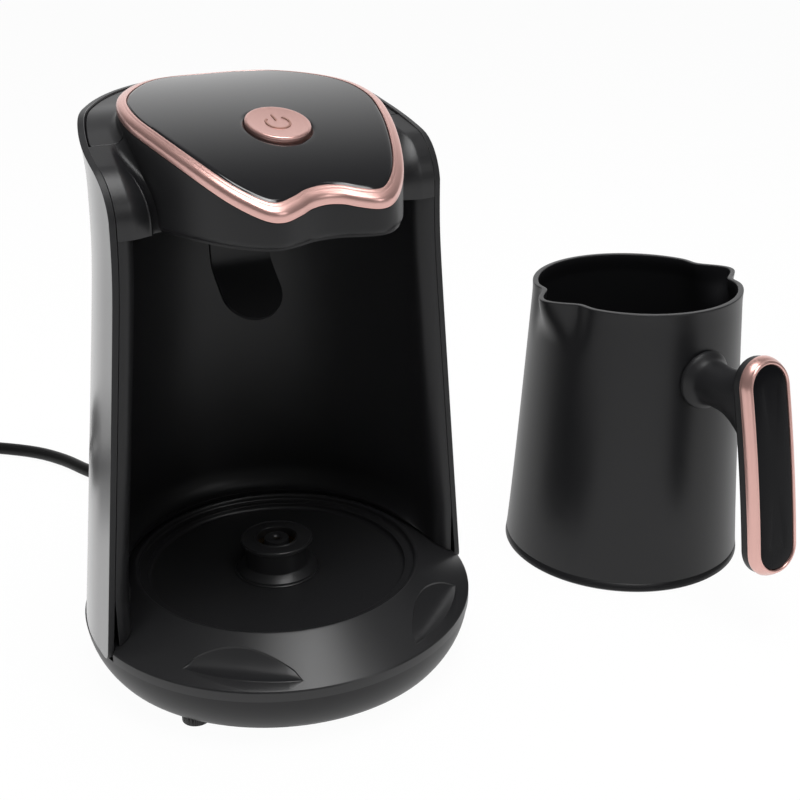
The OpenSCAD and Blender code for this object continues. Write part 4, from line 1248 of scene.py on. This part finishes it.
    def power_button(self) -> None:
        """Button: a turned cap with a rounded edge and a slightly hollow top, its flange and its stem."""
        r, up = self.button_r, self.button_proud
        hollow = np.stack([np.linspace(0.05, r - 1.6, 12), np.zeros(12)], -1)
        hollow[:, 1] = up - self.button_hollow * (1 - (hollow[:, 0] / r) ** 2)
        section = np.vstack([
            hollow, arc(r - 0.8, up - 0.8, 0.8, 90, 0, 7),
            [[r, -2.8], [r + 1.2, -2.8], [r + 1.2, -4.0], [2.2, -4.0], [2.2, -9.3], [0.05, -9.3]]])
        angle = np.radians(np.arange(0, 360, 3.75))[None]
        local = np.stack(np.broadcast_arrays(section[:, :1] * np.cos(angle), section[:, :1] * np.sin(angle),
                                             section[:, 1:]), -1)
        dress(closed_piece("power_button.looks", self.on_button(local)), ROSE, "button", "power_button")

    def power_symbol(self) -> None:
        """Raised generic power sign: an open ring and a bar, both of round section."""
        turn = np.radians(np.linspace(128, 412, 41))
        ring = self.symbol_r * np.stack([np.cos(turn), np.sin(turn)], -1)
        bar = np.stack([np.zeros(9), np.linspace(*self.symbol_bar, 9)], -1)
        skin = Skin()
        for line in (ring, bar):
            along = np.gradient(line, axis=0)
            across = np.stack([-along[:, 1], along[:, 0]], -1) / np.linalg.norm(along, axis=1)[:, None]
            a = np.radians(np.arange(0, 360, 45))[None, :, None]
            thick = np.full((len(line), 1, 1), self.symbol_t)
            thick[[0, -1]] = 0.05
            plan = line[:, None] + thick * np.cos(a) * across[:, None]
            out = (line[:, :1] ** 2 + line[:, 1:] ** 2) / self.button_r**2
            base = self.button_proud - self.button_hollow * (1 - out)
            height = base + thick[..., 0] * 0.7 * np.sin(a)[..., 0]
            skin.grid(self.on_button(np.concatenate([plan, height[..., None]], -1)), wrap_cols=True)
        # the sign's darker rose is painted shade on the button's own metal
        dress(skin.make("power_symbol"), ROSE_SYMBOL_PAINTED_SHADE, "button")

    def sensor_hood(self) -> None:
        """Hood over the pot's mouth: a bent sheet that hangs from the head and narrows to a round end."""
        bend = np.array([[23.3, self.form.head_z], [23.3, 158.0], [21.0, 154.0], [4.7, 138.4]])
        line = rounded(bend, 3)[::-1]
        round_z, round_h = 147.0, 8.6
        turn = np.radians(np.linspace(90, 0, 15))
        straight = np.linspace(round_z + 0.5, self.form.head_z, 40)
        z = np.concatenate([round_z - round_h * np.sin(turn), straight])
        half = np.concatenate([np.maximum(self.hood_w * np.cos(turn), 0.4), np.full(40, self.hood_w)])
        y = np.interp(z, line[:, 1], line[:, 0])
        across = np.linspace(-1, 1, 25)[None]
        points = np.stack(np.broadcast_arrays(half[:, None] * across, y[:, None], z[:, None]), -1)
        skin = Skin()
        skin.grid(points)
        skin.turn_faces(np.array([0.0, 60.0, 160.0]), outwards=True)
        dress(skin.sheet("sensor_hood.looks", self.hood_t, 0.4), BLACK, "machine", "sensor_hood")

    def build(self) -> None:
        """Makes the head's pieces."""
        self.housing()
        self.trim_ring()
        self.top_panel()
        self.power_button()
        self.power_symbol()
        self.sensor_hood()


# ---------------------------------------------------------------- pot


@dataclass
class Pot:
    """Coated pot with two pouring lips, its foot ring and its base."""

    height: float = 127.1
    foot_r: float = 54.6
    top_r: float = 45.9
    wall: float = 1.6
    rim_wall: float = 2.5
    lip_out: float = 0.4
    spout_out: float = 6.0
    spout_bell: float = 9.5
    spout_h: float = 20.0
    pinch_in: float = 1.9
    pinch_at: float = 17.5
    pinch_w: float = 6.5
    pinch_h: float = 26.0
    spout_turn: tuple[float, float] = (-5.0, 180.0)
    floor_z: float = 21.6
    floor_t: float = 1.6
    skirt_z: float = 4.3
    belly: float = 0.86
    rim_h: float = 7.0
    rim_half: float = 0.45
    rim_band: float = 24.0
    bowl_r: float = 5.0
    smooth: tuple = (("pot_skirt_ring", COATING), ("pot_connector", BLACK), ("pot_base_cover", BLACK))
    plain: tuple = (("pot_contacts", BRASS), ("heater_plate", ALUMINIUM), ("heating_element", STEEL),
                    ("thermal_cutout", PALE), ("pot_base_screws", STEEL))

    def radius(self, z: Number) -> Number:
        """Radius of the pot: from foot to top with the power belly of the height, and a turned-out rim.

        Args:
            z: heights.

        Returns:
            The radii.
        """
        share = np.clip(z / self.height, 0, None) ** self.belly
        rim = np.clip((z - self.height + self.rim_h) / self.rim_h, 0, None) ** 2
        return mix(self.foot_r, self.top_r, share) + self.lip_out * rim

    def spout(self, angle: Array, z: Number) -> Array:
        """How far the two pouring lips stand out: a bell over the angle between two pinched-in flanks.

        Both ease in below the rim.

        Args:
            angle: angles in radians.
            z: heights.

        Returns:
            The distance outwards.
        """
        out = np.zeros(np.broadcast_shapes(np.shape(angle), np.shape(z)))
        for turn in self.spout_turn:
            off = np.abs((np.degrees(angle) - turn + 180) % 360 - 180)
            bell = self.spout_out * np.exp(-((off / self.spout_bell) ** 2))
            bell = bell * ease(self.height - self.spout_h, self.height, z)
            pinch = self.pinch_in * np.exp(-(((off - self.pinch_at) / self.pinch_w) ** 2))
            pinch = pinch * ease(self.height - self.pinch_h, self.height, z)
            out = out + bell - pinch
        return out

    def body(self) -> None:
        """Pot body: from under the floor up the outer wall, over the rim and down inside to the floor."""
        top, half, band, bowl_r = self.height, self.rim_half, self.rim_band, self.bowl_r
        up = np.concatenate([np.linspace(self.skirt_z + 0.1, top - band, 30),
                             np.linspace(top - (band - 1), top - half, 30)])
        outer = np.stack([up, np.zeros(len(up))], -1)
        turn = np.radians(np.linspace(0, 90, 5)[1:])
        edge = np.stack([top - half + half * np.sin(turn), half - half * np.cos(turn)], -1)
        rim = np.vstack([edge, np.stack([edge[::-1, 0], self.rim_wall - edge[::-1, 1]], -1)])
        down = np.concatenate([np.linspace(top - half, top - (band - 1), 30),
                               np.linspace(top - band, self.floor_z + bowl_r, 24)])
        inner = np.stack([down, mix(self.wall, self.rim_wall, ease(top - 9, top - 1, down))], -1)
        fillet = arc(0, 0, 1, 0, 90, 6)[1:]
        bowl = np.stack([self.floor_z + bowl_r - bowl_r * fillet[:, 1],
                         self.wall + bowl_r - bowl_r * fillet[:, 0]], -1)
        under = np.array([[self.floor_z - self.floor_t, self.wall + 0.1],
                          [self.skirt_z + 3.2, self.wall + 0.1], [self.skirt_z + 0.1, self.wall]])
        rows = self.rows(np.vstack([under, outer, rim, inner, bowl]), np.radians(np.arange(0, 360, 1.0)))
        skin = Skin()
        skin.tube(rows, POT + [0, 0, self.floor_z - self.floor_t], POT + [0, 0, self.floor_z])
        dress(skin.make("pot_body.looks"), COATING, "pot", "pot_body")

    def rows(self, path: Array, angle: Array) -> Array:
        """Rings of the pot along a path.

        Args:
            path: array (k, 2) of height and distance inside the outer face.
            angle: angles in radians.

        Returns:
            Array (k, angles, 3).
        """
        z, inset = path[:, :1], path[:, 1:]
        r = self.radius(z) - inset + self.spout(angle[None], z)
        x, y = r * np.cos(angle) + POT[0], r * np.sin(angle) + POT[1]
        return np.stack(np.broadcast_arrays(x, y, z), -1)

    def build(self) -> None:
        """Makes the pot's pieces."""
        self.body()
        for node, finish in self.smooth:
            smooth_copy(node, finish, "pot")
        for node, finish in self.plain:
            dress_node(node, finish)


@dataclass
class Handle:
    """Neck, grip, metal-coloured frame and inlay."""

    pot: Pot
    neck_z: float = 97.0
    neck_r: float = 9.3
    collar_r: float = 12.2
    drop: float = 24.0
    half_l: float = 46.5
    half_w: float = 12.5
    lean: float = 11.8
    bow_r: float = 700.0
    thick: float = 10.0
    frame_w: float = 3.2
    back_from: float = 4.9
    mid_y: float = -92.9
    spread_from: float = 0.35
    spread_up: float = 7.5
    spread_down: float = 19.0
    spread_side: float = 1.2

    def on_grip(self, local: Array) -> Array:
        """Moves points from the grip's frame, x across, y along and z out of its face, to the machine's.

        Args:
            local: array (..., 3).

        Returns:
            The moved points.
        """
        a = math.radians(90 - self.lean)
        y = local[..., 1] * math.cos(a) - local[..., 2] * math.sin(a) + self.mid_y
        z = local[..., 1] * math.sin(a) + local[..., 2] * math.cos(a) + self.neck_z - self.drop
        return np.stack([local[..., 0], y, z], -1) + POT

    def bow(self, y: Array) -> Array:
        """Height of the grip's slightly bowed face, 0 at its middle."""
        return np.sqrt(self.bow_r**2 - y**2) - self.bow_r

    def stadium(self, inset: float, steps: int = 24) -> Array:
        """Outline of the grip with round ends, moved inwards.

        Args:
            inset: distance inside the outer edge.
            steps: steps around each end.

        Returns:
            Array (places, 2).
        """
        r = self.half_w - inset
        straight = self.half_l - self.half_w
        up = np.linspace(-straight, straight, 30)[1:-1]
        side = np.stack([np.full(len(up), r), up], -1)
        upper, lower = arc(0, straight, r, 0, 180, steps), arc(0, -straight, r, 180, 360, steps)
        return np.vstack([side, upper, side * [-1, -1], lower])

    def rings(self, section: Array) -> Array:
        """Carries a section around the grip's outline.

        Args:
            section: array (k, 2) of inset and depth below the bowed face.

        Returns:
            Array (k, places, 3).
        """
        rows = []
        for inset, depth in section:
            plan = self.stadium(inset)
            rows.append(np.concatenate([plan, (self.bow(plan[:, 1]) - depth)[:, None]], -1))
        return self.on_grip(np.array(rows))

    def middle(self, depth: float) -> Array:
        """Point at the grip's middle, at a depth below its face."""
        return self.on_grip(np.array([0.0, 0.0, -depth]))

    def grip_body(self, skin: Skin) -> None:
        """Back of the grip: its outline down to a rounded back.

        Args:
            skin: the handle's skin.
        """
        back = arc(2.65, self.thick - 2.5, 2.3, 180, 90, 6)
        start = self.back_from + 0.1
        rows = self.rings(np.vstack([[[0.35, start]], back]))
        skin.tube(rows, self.middle(start), self.middle(self.thick))

    def neck(self, skin: Skin) -> None:
        """Neck: oval sections from a collar on the pot's wall, widening up and down into the grip's back.

        Args:
            skin: the handle's skin.
        """
        t = np.concatenate([[0, 0.02, 0.05, 0.07], np.linspace(0.09, 1, 36)])[:, None]
        ridge = self.collar_r - self.neck_r
        collar = ridge * np.exp(-((np.clip(t - 0.05, 0, None) / 0.06) ** 2)) + 0.5 * (t > 0.01)
        collar = np.where(t <= 0.01, ridge - 0.4, collar - 0.5 * ease(0.05, 0.3, t))
        spread = np.clip((t - self.spread_from) / (1 - self.spread_from), 0, None)
        up = self.neck_r + collar + self.spread_up * spread**3
        down = self.neck_r + collar + self.spread_down * spread**2.6
        wide = self.neck_r + collar + self.spread_side * spread**2
        a = np.radians(np.arange(0, 360, 5.0))[None]
        x = wide * np.cos(a)
        z = self.neck_z + np.where(np.sin(a) > 0, up, down) * np.sin(a)
        wall = -np.sqrt(np.clip((self.pot.radius(z) + 0.15) ** 2 - x**2, 0, None))
        lean = math.radians(self.lean)
        grip_y = self.mid_y + (z - self.neck_z + self.drop) * math.tan(lean)
        y = mix(wall, grip_y + (self.thick - 1.5) / math.cos(lean), t)
        points = np.stack([x, y, z], -1) + POT
        skin.tube(points, points[0].mean(0), points[-1].mean(0))

    def body(self) -> None:
        """Neck and grip back in one piece."""
        skin = Skin()
        self.grip_body(skin)
        self.neck(skin)
        dress(skin.make("handle.looks"), BLACK, "pot", "handle")

    def frame(self) -> None:
        """Metal-coloured frame: a rounded outer side and a narrow raised lip inside it."""
        w, t = self.frame_w, self.back_from
        section = np.array([[0.3, t], [0.05, t - 0.2], [0.0, t - 0.6], [0.25, 3.3], [0.65, 2.35], [1.1, 1.6],
                            [1.45, 1.2], [1.6, 0.85], [1.75, 0.45], [2.1, 0.12], [2.6, 0.0], [2.95, 0.06],
                            [w, 0.35], [w, t]])
        dress(closed_piece("grip_frame.looks", self.rings(section), 50), ROSE, "pot", "grip_frame")

    def inlay(self) -> None:
        """Black inlay: a slightly crowned face with a rounded edge, closed underneath."""
        inset = self.frame_w + 0.1
        section = np.vstack([[[inset + 5.5, 0.25], [inset + 3, 0.35]],
                             arc(inset + 0.7, 1.2, 0.7, 270, 180, 5), [[inset, self.back_from]]])
        skin = Skin()
        skin.tube(self.rings(section), self.middle(0.22), self.middle(self.back_from))
        dress(skin.make("grip_inlay.looks"), INLAY, "pot", "grip_inlay")

    def build(self) -> None:
        """Makes the handle's pieces."""
        self.body()
        self.frame()
        self.inlay()
        dress_node("handle_boss", STEEL)
        dress_node("handle_bolt", STEEL)


# ---------------------------------------------------------------- cord


@dataclass
class MainsCord:
    """Free mains cord from the strain relief to the plug, with its coil."""

    diameter: float = 6.5
    length: float = 1.0
    coil_r: float = 37.5
    coil_x: float = -110.0
    coil_y: float = 224.0
    turns: float = 3.25
    pitch: float = 6.8
    start_z: float = 4.25
    turn_steps: int = 16
    exit_z: float = 13.3
    sleeve: tuple[float, float] = (79.3, 110.0)
    sleeve_r: float = 5.5
    rib: float = 0.45
    rib_count: int = 7
    route: tuple = ((0, 110.1, 13.3), (0, 120, 12.3), (-1, 134, 7.25), (-4, 148, 3.25), (-14, 168, 3.25),
                    (-23, 186, 3.25), (-30, 205, 3.25), (-40, 222, 3.25), (-56, 238, 3.25), (-74, 251, 3.25),
                    (-92, 259, 3.75))
    tail: tuple = ((-147.5, 214, 25.35), (-147.5, 205, 19.9), (-147.5, 196, 18.5))

    def line(self) -> Array:
        """The cord's line: route, coil turns worked out as a helix, and tail, through one smooth curve.

        Returns:
            Array (k, 3) of its points.
        """
        steps = int(self.turns * self.turn_steps)
        turn = np.radians(90 + 360 * self.turns * np.arange(steps + 1) / steps)
        rise = self.start_z + self.pitch * self.turns * np.arange(steps + 1) / steps
        x, y = self.coil_x + self.coil_r * np.cos(turn), self.coil_y + self.coil_r * np.sin(turn)
        coil = np.stack([x, y, rise], -1)
        line = catmull_rom(np.vstack([self.route, coil, self.tail]), 4, closed=False)
        line[:, 2] = np.maximum(line[:, 2], self.diameter / 2)
        return line

    def strain_relief(self) -> Piece:
        """Sleeve with ribs: its radius falls from the base to the cord and swells at each rib.

        Returns:
            The sleeve.
        """
        start, end = self.sleeve
        along = np.linspace(start, end, 90)
        share = (along - along[0]) / (along[-1] - along[0])
        wave = np.clip(np.sin(2 * np.pi * self.rib_count * share), -0.6, 1)
        ribs = self.rib * wave * (share > 0.08) * (share < 0.93)
        radius = mix(self.sleeve_r, self.diameter / 2 + 0.5, share) + ribs
        radius[along < 81] = 6.0
        section = np.vstack([[[0.05, 70.0], [6.2, 70.0], [6.2, 71.9], [4.7, 71.9], [4.7, 79.1]],
                             np.stack([radius, along], -1), [[0.05, end]]])
        points = lathe(section, np.array([0.0, 0.0, self.exit_z]), np.array([0.0, 1.0, 0.0]), 48)
        return dress(closed_piece("strain_relief.looks", points), RUBBER, "machine", "strain_relief")

    def build(self) -> None:
        line = (self.line() + MACHINE) * MM
        curve = bpy.data.curves.new("mains_cord", "CURVE")
        curve.dimensions = "3D"
        curve.bevel_depth = self.diameter / 2 * MM
        curve.bevel_resolution = 4
        curve.use_fill_caps = True
        spline = curve.splines.new("POLY")
        spline.points.add(len(line) - 1)
        spline.points.foreach_set("co", np.concatenate([line, np.ones((len(line), 1))], -1).ravel())
        cord = stand("mains_cord", curve)
        dress(cord, JACKET, "machine", "cord", "cord_coil", "cord_tail")
        LOG.info("cord length %.4f", float(np.linalg.norm(np.diff(line, axis=0), axis=1).sum()))
        relief = self.strain_relief()
        plug = smooth_copy("plug_body", RUBBER, "machine")
        tie = smooth_copy("cord_tie", RUBBER, "machine", edge=0.3)
        dress_node("plug_pins", PLATED)


# ---------------------------------------------------------------- studio


@dataclass(frozen=True)
class Lamp:
    """A square soft lamp, in metres and watts."""

    name: str
    at: Point
    size: float
    power: float
    glint: bool = True

    def hang(self, aim: Point) -> None:
        """Hangs the lamp, turned to a point.

        Args:
            aim: the point, in metres.
        """
        data = bpy.data.lights.new(self.name, "AREA")
        data.size = self.size
        data.energy = self.power
        lamp = stand(self.name, data)
        lamp.visible_glossy = self.glint
        lamp.location = self.at
        away = np.array(self.at) - aim
        tilt = math.atan2(math.hypot(away[0], away[1]), away[2])
        lamp.rotation_euler = (tilt, 0, math.atan2(away[0], -away[1]))


@dataclass
class Studio:
    """Camera, floor and soft light."""

    camera_at: Point = (-195.43, -437.52, 304.06)
    heading: tuple[float, float] = (0.502, 0.865)
    pitch: float = 22.6
    focal_px: float = 1317.5
    frame_px: float = 800.0
    sensor: float = 36.0
    floor_half: float = 8.0
    floor_grey: float = 0.86
    floor_glow: float = 0.965
    middle: Point = (-0.05, 0.0, 0.1)
    lamps: tuple = (
        Lamp("overhead", (0.0, 0.15, 1.3), 1.1, 12, glint=False),
        Lamp("left", (-1.2, -0.2, 0.7), 0.8, 3, glint=False),
        Lamp("right", (1.3, -0.3, 0.6), 0.8, 1.5, glint=False),
        Lamp("front", (0.4, -1.05, 0.72), 0.35, 1.0),
        Lamp("slope", (0.0, -0.42, 1.0), 0.45, 2.8),
        Lamp("ring", (0.03, -0.08, 1.09), 0.42, 2.8))

    def camera(self) -> None:
        """Sets the camera: its place, heading and pitch, and a lens for the frame's width."""
        data = bpy.data.cameras.new("camera")
        data.sensor_width = self.sensor
        data.lens = self.sensor * self.focal_px / self.frame_px
        data.clip_end = 50
        camera = stand("camera", data)
        camera.location = (np.array(self.camera_at) + MACHINE) * MM
        camera.rotation_euler = (math.radians(90 - self.pitch), 0, -math.atan2(*self.heading))
        bpy.context.scene.camera = camera

    def floor(self) -> None:
        """White floor that the camera sees as white, with the object's soft shadow."""
        mesh = bpy.data.meshes.new("floor")
        w = self.floor_half
        mesh.from_pydata([(-w, -w, 0), (w, -w, 0), (w, w, 0), (-w, w, 0)], [], [(0, 1, 2, 3)])
        floor = stand("floor", mesh)
        made = bpy.data.materials.new("white floor")
        made.use_nodes = True
        tree = made.node_tree
        shader = tree.nodes["Principled BSDF"]
        fill(tree, shader, {"Base Color": (*[self.floor_grey] * 3, 1), "Roughness": 0.9,
                            "Specular IOR Level": 0.1})
        glow = tree.nodes.new("ShaderNodeEmission")
        ray = tree.nodes.new("ShaderNodeLightPath").outputs
        mirrored = worked_out(tree, "MAXIMUM", ray["Is Glossy Ray"], ray["Is Transmission Ray"])
        seen = worked_out(tree, "MAXIMUM", ray["Is Camera Ray"], mirrored)
        share = worked_out(tree, "MULTIPLY", seen, self.floor_glow)
        both = add_node(tree, "MixShader", {0: share, 1: shader.outputs[0], 2: glow.outputs[0]})
        fill(tree, tree.nodes["Material Output"], {"Surface": both.outputs[0]})
        mesh.materials.append(made)

    def world(self) -> None:
        """Surround: white behind the object and greyer in front of it."""
        world = bpy.data.worlds.new("surround")
        bpy.context.scene.world = world
        world.use_nodes = True
        tree = world.node_tree
        place = tree.nodes.new("ShaderNodeTexCoord").outputs["Generated"]
        facing = add_node(tree, "VectorMath", {0: place, 1: (*self.heading, 0.0)}, operation="DOT_PRODUCT")
        level = add_node(tree, "MapRange", {"Value": facing.outputs["Value"], "From Min": 0.45,
                                            "From Max": 0.95, "To Min": 0.12, "To Max": 1.0},
                         interpolation_type="SMOOTHSTEP")
        fill(tree, tree.nodes["Background"], {"Color": (1, 1, 1, 1), "Strength": level.outputs["Result"]})

    def build(self) -> None:
        """Makes the studio."""
        bpy.context.scene.view_settings.view_transform = "Standard"
        self.camera()
        self.floor()
        self.world()
        for lamp in self.lamps:
            lamp.hang(self.middle)


def main() -> None:
    """Builds the studio and the cord first, then every sub-assembly."""
    logging.basicConfig(level=logging.INFO, format="%(name)s: %(message)s")
    form, head = ColumnForm(), HeadForm()
    cover, pot = BaseCover(form), Pot()
    for part in (Studio(), MainsCord(), Base(), Tower(), cover, Column(form, head, cover), Head(head, form),
                 pot, Handle(pot)):
        part.build()


if __name__ == "__main__":
    main()
